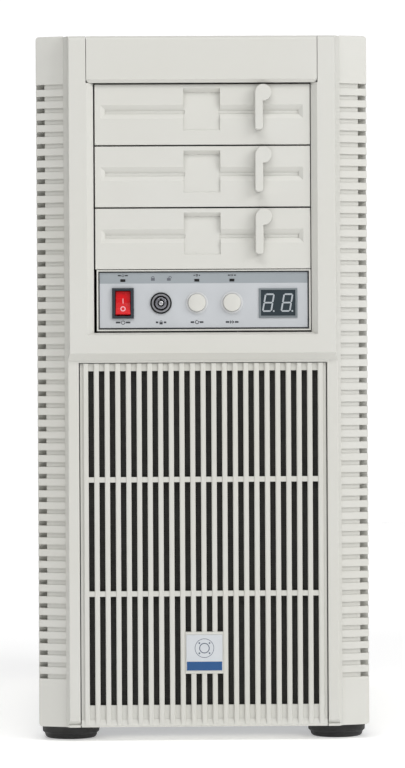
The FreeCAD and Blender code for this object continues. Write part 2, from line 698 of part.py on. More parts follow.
def display_bezel():
    face = PLATE_FACE - 0.9
    x, z = DISPLAY_X, DISPLAY_Z
    dx, dz = (half + 0.1 for half in DISPLAY_HALF)
    frame = block(x - dx - 1.4, x + dx + 1.4, face, PLATE_FACE, z - dz - 1.4, z + dz + 1.1)
    frame = soften(frame, 0.4, lambda c, e: near(c.y, face))
    return frame.cut(block(x - dx, x + dx, face - 1, PLATE_FACE + 1, z - dz, z + dz))


def display_module():
    """Window of the two-digit display, and the body behind it."""
    x, z = DISPLAY_X, DISPLAY_Z
    dx, dz = DISPLAY_HALF
    bx, bz = DISPLAY_BODY
    window = block(x - dx, x + dx, PLATE_FACE - 0.4, PLATE_FACE, z - dz, z + dz)
    body = block(x - bx, x + bx, PLATE_FACE, PLATE_FACE + 8, z - bz, z + bz)
    return join([window, body])


def indicator_lights():
    return [
        block(x - 1.65, x + 1.65, PLATE_FACE - 0.15, PLATE_FACE + 6, LIGHT_Z - 0.85, LIGHT_Z + 0.85)
        for x in LIGHT_XS
    ]


def control_board():
    """Circuit board behind the controls, with the two push switches and the display socket."""
    face = FRONT + 34
    low, high = CONTROL_Z - 17, CONTROL_Z + 17
    board = block(-70, 70, face, face + BOARD_THICK, low, high)
    switches = [
        block(x - 6, x + 6, face - 6, face, BUTTON_Z - 6, BUTTON_Z + 6) for x in (RESET_X, TURBO_X)
    ]
    socket = block(DISPLAY_X - 11, DISPLAY_X + 11, face - 15, face, DISPLAY_Z - 8, DISPLAY_Z + 8)
    header = block(-66, -46, face + BOARD_THICK, face + BOARD_THICK + 8, low + 4, low + 10)
    return join([board] + switches + [socket, header])


# ---------------------------------------------------------------- intake grille
def rib(x):
    half, edge = RIB_WIDE / 2, 0.55
    y = LOWER_PLANE
    outline = [
        (x - half, y + RIB_PROUD + 0.5),
        (x - half, y + edge),
        (x - half + edge, y),
        (x + half - edge, y),
        (x + half, y + edge),
        (x + half, y + RIB_PROUD + 0.5),
    ]
    return prism_z(outline, GRILLE_BOTTOM, GRILLE_TOP)


def front_grille():
    """Slotted plate with upright ribs, a lip along its foot, rim walls and a seat for the badge."""
    front = LOWER_PLANE
    base, back = front + RIB_PROUD, front + RIB_PROUD + GRILLE_PLATE
    plate = block(-GRILLE_HALF, GRILLE_HALF, base, back, GRILLE_BOTTOM, GRILLE_TOP)
    half = (RIB_PITCH - RIB_WIDE) / 2
    ends = [SLOT_BOTTOM]
    for z in BAR_ZS:
        ends += [z - BAR_TALL / 2, z + BAR_TALL / 2]
    ends.append(SLOT_TOP)
    slots = []
    for k in range(RIB_COUNT - 1):
        x = (k + 0.5 - (RIB_COUNT - 1) / 2) * RIB_PITCH
        for low, high in zip(ends[::2], ends[1::2]):
            slots.append(block(x - half, x + half, base - 1, back + 1, low, high))
    plate = carve(plate, slots)
    ribs = [rib((k - (RIB_COUNT - 1) / 2) * RIB_PITCH) for k in range(RIB_COUNT)]
    across = (RIB_COUNT - 1) / 2 * RIB_PITCH
    bar = BAR_TALL / 2
    bars = [block(-across, across, front + 0.8, base + 1, z - bar, z + bar) for z in BAR_ZS]
    foot_z = GRILLE_BOTTOM
    lip = prism_x(
        [
            (base + 1, foot_z + 5.4),
            (base - 0.3, foot_z + 5.4),
            (front + 0.4, foot_z + 2.4),
            (front + 0.4, foot_z),
            (base + 1, foot_z),
        ],
        -GRILLE_HALF,
        GRILLE_HALF,
    )
    rim_back = front + 13
    rims = [
        block(-GRILLE_HALF, -GRILLE_HALF + 2, base + 1, rim_back, GRILLE_BOTTOM, GRILLE_TOP),
        block(GRILLE_HALF - 2, GRILLE_HALF, base + 1, rim_back, GRILLE_BOTTOM, GRILLE_TOP),
        block(-GRILLE_HALF, GRILLE_HALF, base + 1, rim_back, GRILLE_BOTTOM, GRILLE_BOTTOM + 2),
        block(-GRILLE_HALF, GRILLE_HALF, base + 1, rim_back, GRILLE_TOP - 2, GRILLE_TOP),
    ]
    half = BADGE_SIDE / 2
    seat = block(-half - 0.7, half + 0.7, front - 0.4, back, BADGE_Z - half - 1.9, BADGE_Z + half + 1.9)
    seat = soften(seat, 0.3, lambda c, e: near(c.y, front - 0.4))
    body = join([plate] + ribs + bars + [lip, seat] + rims)
    under = prism_x(
        [
            (front - 1, foot_z - 1),
            (front + 1.2, foot_z - 1),
            (front + 1.2, foot_z),
            (front, foot_z + 1.8),
            (front - 1, foot_z + 1.8),
        ],
        -GRILLE_HALF - 1,
        GRILLE_HALF + 1,
    )
    room = half + 0.1
    pocket = block(-room, room, front - 1, front + 0.4, BADGE_Z - room, BADGE_Z + room)
    return carve(body, [under, pocket])


def badge():
    half = BADGE_SIDE / 2
    face = LOWER_PLANE - 0.5
    plate = block(-half, half, face, LOWER_PLANE + 0.4, BADGE_Z - half, BADGE_Z + half)
    return soften(plate, 0.25, lambda c, e: near(c.y, face))


def dust_filter():
    y0 = LOWER_PLANE + RIB_PROUD + GRILLE_PLATE + 0.6
    half, low, high = 82.0, 14.0, 258.0
    frame = block(-half, half, y0, y0 + 3, low, high)
    rows = [(low + 5, 133.0), (139.0, high - 5)]
    rooms = [block(-half + 5, half - 5, y0 + 0.8, y0 + 4, a, b) for a, b in rows]
    return carve(frame, rooms)


# ---------------------------------------------------------------- fans
def ring_of(shape, count, centre, axis):
    """Copies of shape, turned evenly about an axis."""
    copies = []
    for i in range(count):
        copy = shape.copy()
        copy.rotate(vec(*centre), vec(*axis), 360.0 * i / count)
        copies.append(copy)
    return copies


def fan_frame(x, y, z, size=FAN_SIZE, depth=FAN_DEPTH):
    """Square frame round a duct, with a motor cup on four struts; y is its front face."""
    half = size / 2
    body = block(x - half, x + half, y, y + depth, z - half, z + half)
    body = soften(body, size * 0.05, lambda c, e: near(abs(c.x - x), half) and near(abs(c.z - z), half))
    duct = rod(half - 2, (x, y - 1, z), depth + 2, (0, 1, 0))
    waist = []
    for sx in (-1, 1):
        for sz in (-1, 1):
            cx, cz = x + sx * (half - 6), z + sz * (half - 6)
            waist.append(block(cx - 7, cx + 7, y + 4, y + depth - 4, cz - 7, cz + 7))
    sleeve = rod(half - 0.8, (x, y, z), depth, (0, 1, 0)).cut(duct)
    body = carve(body, [duct] + waist)
    cup = rod(size * 0.17, (x, y + depth - 4, z), 4, (0, 1, 0))
    strut = block(x, x + half - 1.4, y + depth - 4, y + depth - 0.5, z - 1.5, z + 1.5)
    struts = ring_of(strut, 4, (x, y, z), (0, 1, 0))
    return join([body, sleeve, cup] + struts)


def fan_rotor(x, y, z, size=FAN_SIZE, depth=FAN_DEPTH, blades=9):
    """Hub with pitched blades, in front of the motor cup."""
    hub_r, tip_r = size * 0.165, size / 2 - 4
    long = depth - 6.5
    hub = rod(hub_r, (x, y + 1.5, z), long, (0, 1, 0))
    hub = soften(hub, 1.5, lambda c, e: near(c.y, y + 1.5))
    chord = size * 0.27
    middle = y + 1.5 + long / 2
    blade = block(x + hub_r - 2, x + tip_r + 2, middle - 0.8, middle + 0.8, z - chord / 2, z + chord / 2)
    blade.rotate(vec(x, middle, z), vec(1, 0, 0), 36)
    tip = rod(tip_r, (x, y + 3.2, z), long - 2.5, (0, 1, 0))
    vanes = [b.common(tip) for b in ring_of(blade, blades, (x, y, z), (0, 1, 0))]
    return join([hub] + vanes)


def lay_down(shape, x, y, z):
    """Turns a fan that faces -Y so that it faces -Z, about its own middle point."""
    shape.rotate(vec(x, y, z), vec(1, 0, 0), 90)
    return shape


# ---------------------------------------------------------------- chassis
def front_plate():
    """Lower sheet with the fan holes, a strip beside each side of the bays and the sheet above them."""
    low, high = BOTTOM, CHASSIS_TOP - SHEET
    y0, y1 = CHASSIS_FRONT, CHASSIS_FRONT + SHEET
    below, above = BAY_BOTTOM - 1, BAY_TOP + 1
    fans = [rod(FAN_SIZE / 2 - 2, (0, y0 - 1, z), 3, (0, 1, 0)) for z in (FAN_LOW_Z, FAN_HIGH_Z)]
    lower = carve(block(-CHASSIS_HALF, CHASSIS_HALF, y0, y1, low, below), fans)
    strip = block(CAGE_HALF, CHASSIS_HALF, y0, y1, below, above)
    wires = block(-60, 60, y0 - 1, y1 + 1, 458, 476)
    upper = carve(block(-CHASSIS_HALF, CHASSIS_HALF, y0, y1, above, high), [wires])
    return [lower, strip, mirror_x(strip), upper]


def drive_cage():
    """Open-ended sheet steel tube for three drives and the control module."""
    y0, y1 = CHASSIS_FRONT + SHEET, CHASSIS_FRONT + SHEET + CAGE_DEPTH
    low, high = BAY_BOTTOM - 1, BAY_TOP + 1
    half = CAGE_HALF + SHEET
    tube = block(-half, half, y0, y1, low - SHEET, high + SHEET)
    room = block(-CAGE_HALF, CAGE_HALF, y0 - 1, y1 + 1, low, high)
    cutters = [room]
    for row in range(BAY_COUNT):
        z = bay_middle(row)
        for y in (y0 + 45, y0 + 125):
            cutters.append(block(-half - 1, half + 1, y - 25, y + 25, z - 4, z + 4))
    return carve(tube, cutters)


def base_plate():
    low = BOTTOM
    body = block(-CHASSIS_HALF, CHASSIS_HALF, CHASSIS_FRONT + SHEET, REAR - SHEET, low, low + SHEET)
    flanges = [
        block(-CHASSIS_HALF, -CHASSIS_HALF + SHEET, CHASSIS_FRONT + SHEET, REAR - SHEET, low, low + 14),
        block(CHASSIS_HALF - SHEET, CHASSIS_HALF, CHASSIS_FRONT + SHEET, REAR - SHEET, low, low + 14),
    ]
    vents = [
        block(-52, 52, PSU_FAN_Y + dy - 2.2, PSU_FAN_Y + dy + 2.2, low - 1, low + 2)
        for dy in range(-54, 55, 9)
    ]
    rails = [mirror_x(filter_rail()), filter_rail()]
    return carve(join([body] + flanges + rails), vents)


def filter_rail():
    """Angle under the base that the power supply's dust filter slides in."""
    y0, y1 = PSU_FAN_Y - 68, REAR - 12
    web = block(66.5, 68.0, y0, y1, BOTTOM - 4.4, BOTTOM)
    ledge = block(63.0, 68.0, y0, y1, BOTTOM - 4.4, BOTTOM - 3.4)
    return join([web, ledge])


def top_cover():
    low = CHASSIS_TOP - SHEET
    body = block(-PANEL_HALF, PANEL_HALF, CHASSIS_FRONT, REAR, low, CHASSIS_TOP)
    body = soften(body, 0.7, lambda c, e: near(abs(c.x), PANEL_HALF) and near(c.z, CHASSIS_TOP))
    inner = CHASSIS_HALF - SHEET
    flanges = [
        block(x, x + SHEET, CHASSIS_FRONT + SHEET, REAR - SHEET, low - 13, low)
        for x in (-CHASSIS_HALF, inner)
    ]
    return join([body] + flanges)


def slot_middle(i):
    """Height of expansion slot i, counted from the lowest."""
    return SLOT_LOW_Z + i * SLOT_PITCH


def rear_panel():
    y0, y1 = REAR - SHEET, REAR
    plate = block(-CHASSIS_HALF, CHASSIS_HALF, y0, y1, BOTTOM, CHASSIS_TOP - SHEET)
    a, b = y0 - 1, y1 + 1
    cutters = [
        block(IO_X0, IO_X1, a, b, IO_LOW, IO_LOW + IO_TALL),
        block(-PSU_HALF + 4, PSU_HALF - 4, a, b, PSU_LOW + 4, PSU_LOW + PSU_TALL - 4),
    ]
    for i in range(SLOT_COUNT):
        z = slot_middle(i)
        cutters.append(block(-30, 72, a, b, z - 6.5, z + 6.5))
    radius = FAN_SIZE / 2 - 4
    for k in range(-7, 8):
        dz = k * 7.4
        half = math.sqrt(max(radius**2 - dz**2, 0)) - 2.2
        if half > 6:
            cutters.append(capsule_y(FAN_BACK_X, FAN_BACK_Z + dz, half, 2.4, a, b))
    for k in range(6):
        cutters.append(capsule_y(-84, 140 + k * 9.0, 14, 2.2, a, b))
    for s in (-1, 1):
        for z in SCREW_ZS:
            cutters.append(rod(1.8, (s * SCREW_X, a, z), 3, (0, 1, 0)))
    return carve(plate, cutters)


def motherboard_tray():
    y0, y1 = CHASSIS_FRONT + CAGE_DEPTH + 8, REAR - SHEET
    plate = block(TRAY_X, TRAY_X + SHEET, y0, y1, BOTTOM + SHEET, CHASSIS_TOP - SHEET)
    holes = [
        block(TRAY_X - 1, TRAY_X + 2, COOLER_Y - 45, COOLER_Y + 45, COOLER_Z - 42, COOLER_Z + 42),
        block(TRAY_X - 1, TRAY_X + 2, y0 - 1, y1 - 160, PSU_LOW + PSU_TALL + 1, 112),
    ]
    plate = carve(plate, holes)
    lip = block(TRAY_X - 6, TRAY_X + SHEET, y0, y0 + SHEET, 114, CHASSIS_TOP - SHEET)
    return join([plate, lip])


def side_panel():
    """Right-hand panel: outer sheet, hemmed edges and a rear flange that laps the rear panel."""
    y0 = CHASSIS_FRONT + 0.6
    low, high = BOTTOM + 0.5, CHASSIS_TOP - SHEET - 0.6
    x0, x1 = PANEL_HALF - SHEET, PANEL_HALF
    rear = REAR + 0.2
    sheet = block(x0, x1, y0, rear + SHEET, low, high)
    hem = 0.6
    hems = [
        block(x0 - hem, x0, y0, rear - 2, low, low + 10),
        block(x0 - hem, x0, y0, rear - 2, high - 10, high),
        block(x0 - hem, x0, y0, y0 + 10, low, high),
    ]
    flange = block(x0 - 9.5, x1, rear, rear + SHEET, low, high)
    body = join([sheet, flange] + hems)
    body = soften(body, 0.5, lambda c, e: near(c.x, x1) and near(c.y, rear + SHEET) and e.Length > 100)
    holes = [rod(2.2, (SCREW_X, rear - 1, z), 4, (0, 1, 0)) for z in SCREW_ZS]
    return carve(body, holes)


def thumbscrew(x, z):
    flange = REAR + 0.2 + SHEET
    tip = REAR + SCREW_PROUD
    head = rod(4.6, (x, flange + 0.1, z), tip - flange - 0.1, (0, 1, 0))
    head = soften(head, 0.5, lambda c, e: near(c.y, tip))
    groove = block(x - 0.5, x + 0.5, flange, tip + 1, z + 4.1, z + 6)
    head = carve(head, ring_of(groove, 18, (x, flange, z), (0, 1, 0)))
    slot = block(x - 3.4, x + 3.4, tip - 1.2, tip + 1, z - 0.5, z + 0.5)
    shank = rod(1.7, (x, REAR - 7, z), flange + 1 - REAR + 7, (0, 1, 0))
    return join([head.cut(slot), shank])


def foot(x, y):
    """Round rubber foot: a wide upper disc on a narrower tread with a round lower edge."""
    profile = [(0, 0), (17.6, 0), (18.3, 3.2), (19.8, 4.6), (20.2, FOOT_HEIGHT), (0, FOOT_HEIGHT)]
    solid = face_of([(r, 0, z) for r, z in profile]).revolve(vec(0, 0, 0), vec(0, 0, 1), 360)
    solid = soften(solid, 2.6, lambda c, e: near(c.z, 0) and e.Length > 50)
    solid.translate(vec(x, y, 0))
    return solid


def psu_filter():
    """Slide-out dust filter under the power supply: a thin tray with a pull tab at the rear."""
    low, high = BOTTOM - 3.0, BOTTOM - GAP
    y0, y1 = PSU_FAN_Y - 66, REAR - 3
    body = block(-66, 66, y0, y1, low, high)
    room = block(-60, 60, y0 + 6, y1 - 8, low + 0.8, high + 1)
    tab = block(-14, 14, y1 - 1, y1 + 4, low, high)
    return join([body.cut(room), tab])


# ---------------------------------------------------------------- main board and cards
def motherboard():
    """Circuit board on a grid of standoffs, with a screw head over each, all separate solids."""
    x0, x1, y1 = BOARD_FACE, BOARD_FACE + BOARD_THICK, BOARD_BACK
    solids = [block(x0, x1, y1 - BOARD_DEEP, y1, BOARD_LOW, BOARD_LOW + BOARD_TALL)]
    for y in (y1 - 12, y1 - 140, y1 - BOARD_DEEP + 14):
        for z in (BOARD_LOW + 8, BOARD_LOW + 145, BOARD_LOW + BOARD_TALL - 5):
            solids.append(rod(3.0, (x1, y, z), STANDOFF, (1, 0, 0)))
            solids.append(rod(3.2, (x0 - 1.6, y, z), 1.6, (1, 0, 0)))
    return solids


def board_connectors():
    """Sockets, slots, heat spreaders and the stack of rear ports, each a separate solid."""
    face = BOARD_FACE
    pieces = [block(face - 6, face, y - 3.2, y + 3.2, DIMM_Z0, DIMM_Z1) for y in DIMM_YS]
    for i in (6, 3, 1):
        z = slot_middle(i)
        socket = block(face - 11, face, BOARD_BACK - 148, BOARD_BACK - 58, z - 3.7, z + 3.7)
        groove = block(face - 12, face - 2.6, BOARD_BACK - 150, BOARD_BACK - 54, z - 0.2, z + 1.8)
        pieces.append(socket.cut(groove))
    pieces.append(block(face - 4, face, COOLER_Y - 24, COOLER_Y + 24, COOLER_Z - 24, COOLER_Z + 24))
    edge = BOARD_BACK - BOARD_DEEP
    pieces.append(block(face - 13, face, edge + 2, edge + 12, 300, 352))
    pieces.append(block(face - 22, face, BOARD_BACK - 46, BOARD_BACK - 30, COOLER_Z - 50, COOLER_Z + 50))
    pieces.append(block(face - 9, face, BOARD_BACK - 205, BOARD_BACK - 165, 150, 195))
    rear = REAR + 0.5
    for z, tall, out in REAR_PORTS:
        pieces.append(block(face - out, face, rear - 24, rear, IO_LOW + z, IO_LOW + z + tall))
    return pieces


def io_shield():
    """Thin plate round the rear ports."""
    y0, y1 = REAR - SHEET, REAR + 0.1
    inset = 0.15
    plate = block(IO_X0 + inset, IO_X1 - inset, y0, y1, IO_LOW + inset, IO_LOW + IO_TALL - inset)
    x1 = BOARD_FACE + 0.3
    holes = [
        block(BOARD_FACE - out - 0.3, x1, y0 - 1, y1 + 1, IO_LOW + z - 0.3, IO_LOW + z + tall + 0.3)
        for z, tall, out in REAR_PORTS
    ]
    return carve(plate, holes)


def memory_modules():
    face = BOARD_FACE
    return [block(face - 38, face - 6, y - 1.7, y + 1.7, DIMM_Z0 + 1, DIMM_Z1 - 1) for y in DIMM_YS[1::2]]


def cpu_cooler():
    """Tower cooler, all separate solids: base, bar, heat pipes, a stack of fins and its two end plates."""
    x, y, z = BOARD_FACE, COOLER_Y, COOLER_Z
    deep, tall = FIN_HALF
    base = block(x - 10, x - 4, y - 20, y + 20, z - 20, z + 20)
    bar = block(x - 16, x - 10, y - 12, y + 12, z - 48, z + 48)
    fin_xs = [FIN_FIRST_X - i * FIN_PITCH for i in range(FIN_COUNT)]
    fins = [block(fin_x, fin_x + FIN_THICK, y - deep, y + deep, z - tall, z + tall) for fin_x in fin_xs]
    near_x, far_x = fin_xs[0] + FIN_THICK, fin_xs[-1]
    ends = [
        block(far_x, near_x, y - deep, y + deep, z + tall, z + tall + FIN_THICK),
        block(far_x, near_x, y - deep, y + deep, z - tall - FIN_THICK, z - tall),
    ]
    pipes = []
    for i in range(6):
        pipe_y, pipe_z = y + (8, -8)[i % 2], z - 45 + 18 * i
        pipes.append(rod(3, (near_x, pipe_y, pipe_z), x - 16 - near_x, (1, 0, 0)))
        pipes.append(rod(3, (far_x - 4, pipe_y, pipe_z), 4, (1, 0, 0)))
    return [base, bar] + fins + ends + pipes


def graphics_card():
    """Circuit board, fan shroud, slot bracket and its three sockets, each a separate solid."""
    x1 = BOARD_FACE - 8
    x0 = x1 - CARD_TALL
    y1 = REAR - 4
    low = CARD_Z - CARD_THICK
    board = block(x0, x1, y1 - CARD_LONG, y1, CARD_Z, CARD_Z + BOARD_THICK)
    contacts = block(x1 - 1, x1 + 5, y1 - 140, y1 - 56, CARD_Z, CARD_Z + BOARD_THICK)
    shroud = block(x0 + 2, x1 - 6, y1 - CARD_LONG + 2, y1 - 14, low, CARD_Z)
    shroud = soften(shroud, 5, lambda c, e: near(c.z, low) and e.Length > 90)
    wells = [rod(CARD_FAN / 2 + 1, (CARD_FAN_X, y, low - 1), 22, (0, 0, 1)) for y in CARD_FAN_YS]
    louvres = [block(x0 + 8, x1 - 12, y1 - 20, y1 - 13, low + 6 + 6 * i, low + 9 + 6 * i) for i in range(4)]
    y_in, y_out = REAR - 2.2, REAR - 1.1
    plate = block(-34, x1 - 0.5, y_in, y_out, CARD_Z - SLOT_PITCH - 8, CARD_Z + 9)
    tab = block(-46, -33, REAR - 13, y_out, CARD_Z + 5, CARD_Z + 6)
    vents = [block(-20, 10, REAR - 3, REAR, CARD_Z - 24 + 4 * i, CARD_Z - 22 + 4 * i) for i in range(4)]
    sockets = [block(14 + 20 * i, 30 + 20 * i, REAR - 14, REAR - 0.6, CARD_Z - 6, CARD_Z) for i in range(3)]
    bracket = carve(join([plate, tab]), vents + sockets)
    return [join([board, contacts]), carve(shroud, wells + louvres), bracket] + sockets


def slot_covers():
    """Blank brackets in the unused expansion slots, each with its bent screw tab."""
    pieces = []
    for i in (0, 1, 2, 3, 4):
        z = slot_middle(i)
        plate = block(-35, BOARD_FACE - 3, REAR - 2.1, REAR - 1.1, z - 9, z + 9)
        tab = block(-35, -34, REAR - 13, REAR - 1.1, z - 9, z + 9)
        pieces.append(join([plate, tab]))
    return pieces


# ---------------------------------------------------------------- power supply and drive
def psu_case():
    """Steel box of six plates: the floor has the round intake, and the rear has slots and two holes."""
    y0, y1 = PSU_BACK - PSU_DEEP, PSU_BACK
    low, high = PSU_LOW, PSU_LOW + PSU_TALL
    side = PSU_HALF - SHEET
    centre = (0, PSU_FAN_Y, low)
    floor = block(-PSU_HALF, PSU_HALF, y0, y1, low, low + SHEET)
    floor = floor.cut(rod(58, centre, SHEET, (0, 0, 1)))
    guards = [
        rod(r, centre, SHEET, (0, 0, 1)).cut(rod(r - 1.5, centre, SHEET, (0, 0, 1))) for r in (46, 26)
    ]
    spoke = block(0, 58.5, PSU_FAN_Y - 1.2, PSU_FAN_Y + 1.2, low, low + SHEET)
    front = block(-side, side, y0, y0 + SHEET, low + SHEET, high - SHEET)
    rear = block(-side, side, y1 - SHEET, y1, low + SHEET, high - SHEET)
    a, b = y1 - 3, y1 + 1
    slots = [capsule_y(-38, low + 12 + k * 8.4, 26, 2.4, a, b) for k in range(8)]
    slots += [capsule_y(32, low + 12 + k * 8.4, 30, 2.4, a, b) for k in range(3)]
    slots.append(block(INLET_X - 13.5, INLET_X + 13.5, a, b, INLET_Z - 10, INLET_Z + 10))
    slots.append(block(PSU_SWITCH_X - 6.6, PSU_SWITCH_X + 6.6, a, b, INLET_Z - 9.7, INLET_Z + 9.7))
    floor = join([floor] + guards + ring_of(spoke, 4, centre, (0, 0, 1)))
    top = block(-PSU_HALF, PSU_HALF, y0, y1, high - SHEET, high)
    wall = block(side, PSU_HALF, y0, y1, low + SHEET, high - SHEET)
    return [floor, front, carve(rear, slots), top, wall, mirror_x(wall)]


def psu_inlet():
    """Mains inlet with three blades, and the housing of the switch beside it."""
    x, z, y0, y1 = INLET_X, INLET_Z, PSU_BACK - 15, PSU_BACK + 1.6
    body = block(x - 13.4, x + 13.4, y0 - 7, y1, z - 9.9, z + 9.9)
    body = soften(body, 0.5, lambda c, e: near(c.y, y1))
    outline = [
        (x - 12, z - 8.2),
        (x + 12, z - 8.2),
        (x + 12, z + 3.5),
        (x + 7.5, z + 8.2),
        (x - 7.5, z + 8.2),
        (x - 12, z + 3.5),
    ]
    body = body.cut(prism_y(outline, y0, y1 + 1))
    blades = [
        block(x + dx - 1, x + dx + 1, y0 - 1, PSU_BACK - 1, z + dz - 2, z + dz + 2)
        for dx, dz in ((-7, -2), (7, -2), (0, 2))
    ]
    inlet = join([body] + blades)
    x = PSU_SWITCH_X
    flange = block(x - 6.5, x + 6.5, PSU_BACK - 14, y1, z - 9.6, z + 9.6)
    flange = soften(flange, 0.5, lambda c, e: near(c.y, y1))
    well = block(x - 4.9, x + 4.9, PSU_BACK - 11, y1 + 1, z - 7.7, z + 7.7)
    return [inlet, flange.cut(well)]


def psu_switch():
    x, y, z = PSU_SWITCH_X, PSU_ROCKER_Y, INLET_Z
    body = prism_x(
        [
            (y + 3.2, z + 7.2),
            (y + 2.2, z),
            (y + 3.2, z - 7.2),
            (y - 0.5, z - 7.2),
            (y - 5.5, z - 2.5),
            (y - 5.5, z + 2.5),
            (y - 0.5, z + 7.2),
        ],
        x - 4.75,
        x + 4.75,
    )
    body.rotate(vec(x, y, z), vec(1, 0, 0), ROCKER_TILT)
    return body


def hard_drive():
    """Drive body with its stepped lid, screwed down to the base plate on its two side rails."""
    y0 = CHASSIS_FRONT + SHEET + FAN_DEPTH + 14
    low = BOTTOM + SHEET
    body = block(-50.8, 50.8, y0, y0 + 147, low, low + 24)
    lid = block(-46, 46, y0 + 6, y0 + 135, low + 23.5, low + 26)
    lid = soften(lid, 6, lambda c, e: near(abs(c.x), 46) and e.Length < 10)
    plug = block(-30, 20, y0 + 140, y0 + 148, low + 3, low + 10)
    return join([body, lid]).cut(plug)


# ---------------------------------------------------------------- every node
def main():
    os.makedirs(OUT, exist_ok=True)
    save("front_bezel", *front_bezel())
    right = flank()
    save("right_flank", right)
    save("left_flank", mirror_x(right))
    save("port_door", port_door())
    save("port_module", port_module())
    save("front_sockets", *usb_sockets(), audio_jack())
    for row in range(3):
        save(f"bay_cover_{row + 1}", bay_cover(row))
        save(f"bay_lever_{row + 1}", bay_lever(row))
    save("control_frame", control_frame())
    save("control_plate", control_plate())
    save("power_switch_housing", power_switch_housing())
    save("power_rocker", power_rocker())
    save("lock_housing", lock_housing())
    save("lock_cylinder", lock_cylinder())
    save("reset_button", push_button(RESET_X))
    save("turbo_button", push_button(TURBO_X))
    save("display_bezel", display_bezel())
    save("display_module", display_module())
    save("indicator_lights", *indicator_lights())
    save("control_board", control_board())
    save("front_grille", front_grille())
    save("badge", badge())
    save("dust_filter", dust_filter())

    fan_y = CHASSIS_FRONT + SHEET
    save("front_fan_frames", *[fan_frame(0, fan_y, z) for z in (FAN_LOW_Z, FAN_HIGH_Z)])
    save("front_fan_rotor_lower", fan_rotor(0, fan_y, FAN_LOW_Z))
    save("front_fan_rotor_upper", fan_rotor(0, fan_y, FAN_HIGH_Z))
    back_y = REAR - SHEET - FAN_DEPTH
    save("rear_fan_frame", fan_frame(FAN_BACK_X, back_y, FAN_BACK_Z))
    save("rear_fan_rotor", fan_rotor(FAN_BACK_X, back_y, FAN_BACK_Z))

    save("front_plate", *front_plate())
    save("drive_cage", drive_cage())
    save("base_plate", base_plate())
    save("top_cover", top_cover())
    save("rear_panel", rear_panel())
    save("motherboard_tray", motherboard_tray())
    panel = side_panel()
    save("right_side_panel", panel)
    save("left_side_panel", mirror_x(panel))
    save("right_thumbscrews", *[thumbscrew(SCREW_X, z) for z in SCREW_ZS])
    save("left_thumbscrews", *[thumbscrew(-SCREW_X, z) for z in SCREW_ZS])
    save("feet", *[foot(s * FOOT_X, y) for s in (-1, 1) for y in FOOT_YS])
    save("psu_filter", psu_filter())

    save("motherboard", *motherboard())
    save("board_connectors", *board_connectors())
    save("io_shield", io_shield())
    save("memory_modules", *memory_modules())
    save("cpu_cooler", *cpu_cooler())
    save("cpu_fan_frame", fan_frame(CPU_FAN_X, CPU_FAN_Y, COOLER_Z))
    save("cpu_fan_rotor", fan_rotor(CPU_FAN_X, CPU_FAN_Y, COOLER_Z))
    save("graphics_card", *graphics_card())
    low = CARD_Z - CARD_THICK
    for name, y in zip(("rear", "front"), CARD_FAN_YS):
        rotor = fan_rotor(CARD_FAN_X, 0, 0, size=CARD_FAN, depth=22, blades=7)
        rotor.translate(vec(0, y, low))
        save(f"graphics_fan_{name}", lay_down(rotor, CARD_FAN_X, y, low))
    save("slot_covers", *slot_covers())

    save("psu_case", *psu_case())
    rotor = fan_rotor(0, 0, 0, size=PSU_FAN_SIZE, depth=24)
    rotor.translate(vec(0, PSU_FAN_Y, PSU_LOW + 1.5))
    save("psu_fan_rotor", lay_down(rotor, 0, PSU_FAN_Y, PSU_LOW + 1.5))
    save("psu_inlet", *psu_inlet())
    save("psu_switch", psu_switch())
    save("hard_drive", hard_drive())


main()
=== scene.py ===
"""Looks of a desktop computer tower in a retro office style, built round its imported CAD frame.

Lengths are in metres unless a name ends in MM. The front faces -Y and +Z is up.
"""

import json
import math

import bmesh
import bpy
from mathutils import Matrix, Vector


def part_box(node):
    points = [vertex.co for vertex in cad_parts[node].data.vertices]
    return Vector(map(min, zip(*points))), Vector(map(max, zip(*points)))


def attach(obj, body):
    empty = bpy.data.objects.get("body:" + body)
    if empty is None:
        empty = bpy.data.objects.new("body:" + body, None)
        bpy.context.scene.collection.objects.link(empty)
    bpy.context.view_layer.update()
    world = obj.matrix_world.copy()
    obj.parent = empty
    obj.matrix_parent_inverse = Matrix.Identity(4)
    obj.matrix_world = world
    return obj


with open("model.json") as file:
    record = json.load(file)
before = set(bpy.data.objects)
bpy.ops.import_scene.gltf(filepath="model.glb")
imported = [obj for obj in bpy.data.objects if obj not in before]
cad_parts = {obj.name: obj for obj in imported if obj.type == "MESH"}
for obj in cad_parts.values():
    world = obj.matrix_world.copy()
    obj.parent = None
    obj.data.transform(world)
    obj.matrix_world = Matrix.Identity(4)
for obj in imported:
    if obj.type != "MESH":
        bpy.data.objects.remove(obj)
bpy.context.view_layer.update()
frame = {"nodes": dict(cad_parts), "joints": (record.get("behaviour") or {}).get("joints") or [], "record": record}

MM = 0.001
PRINT = 0.05 * MM  # thickness of printed marks

# ---------------------------------------------------------------- colours, as screen colours
IVORY = (0.838, 0.836, 0.815)
IVORY_AGED = (0.826, 0.822, 0.793)
BUTTON_IVORY = (0.835, 0.832, 0.808)
FACE_LIGHT = (0.770, 0.782, 0.795)
FACE_BAND = (0.615, 0.640, 0.657)
SLATE = (0.180, 0.205, 0.230)
INK = (0.22, 0.23, 0.25)
BAND_INK = (0.07, 0.07, 0.09)
CHANNEL_SHADE = (0.36, 0.37, 0.38)  # painted shade: dark grey on the floor of the gap round the control plate
LOCK_INK = (0.40, 0.41, 0.44)
ROCKER_RED = (0.860, 0.060, 0.095)
MARK_PINK = (0.96, 0.72, 0.75)
DISPLAY_GLASS = (0.200, 0.240, 0.262)
DISPLAY_FRAME = (0.47, 0.50, 0.515)
SEGMENT = (0.70, 0.725, 0.745)
BADGE_WHITE = (0.845, 0.860, 0.875)
BADGE_BLUE = (0.10, 0.32, 0.545)
BADGE_INK = (0.32, 0.36, 0.44)
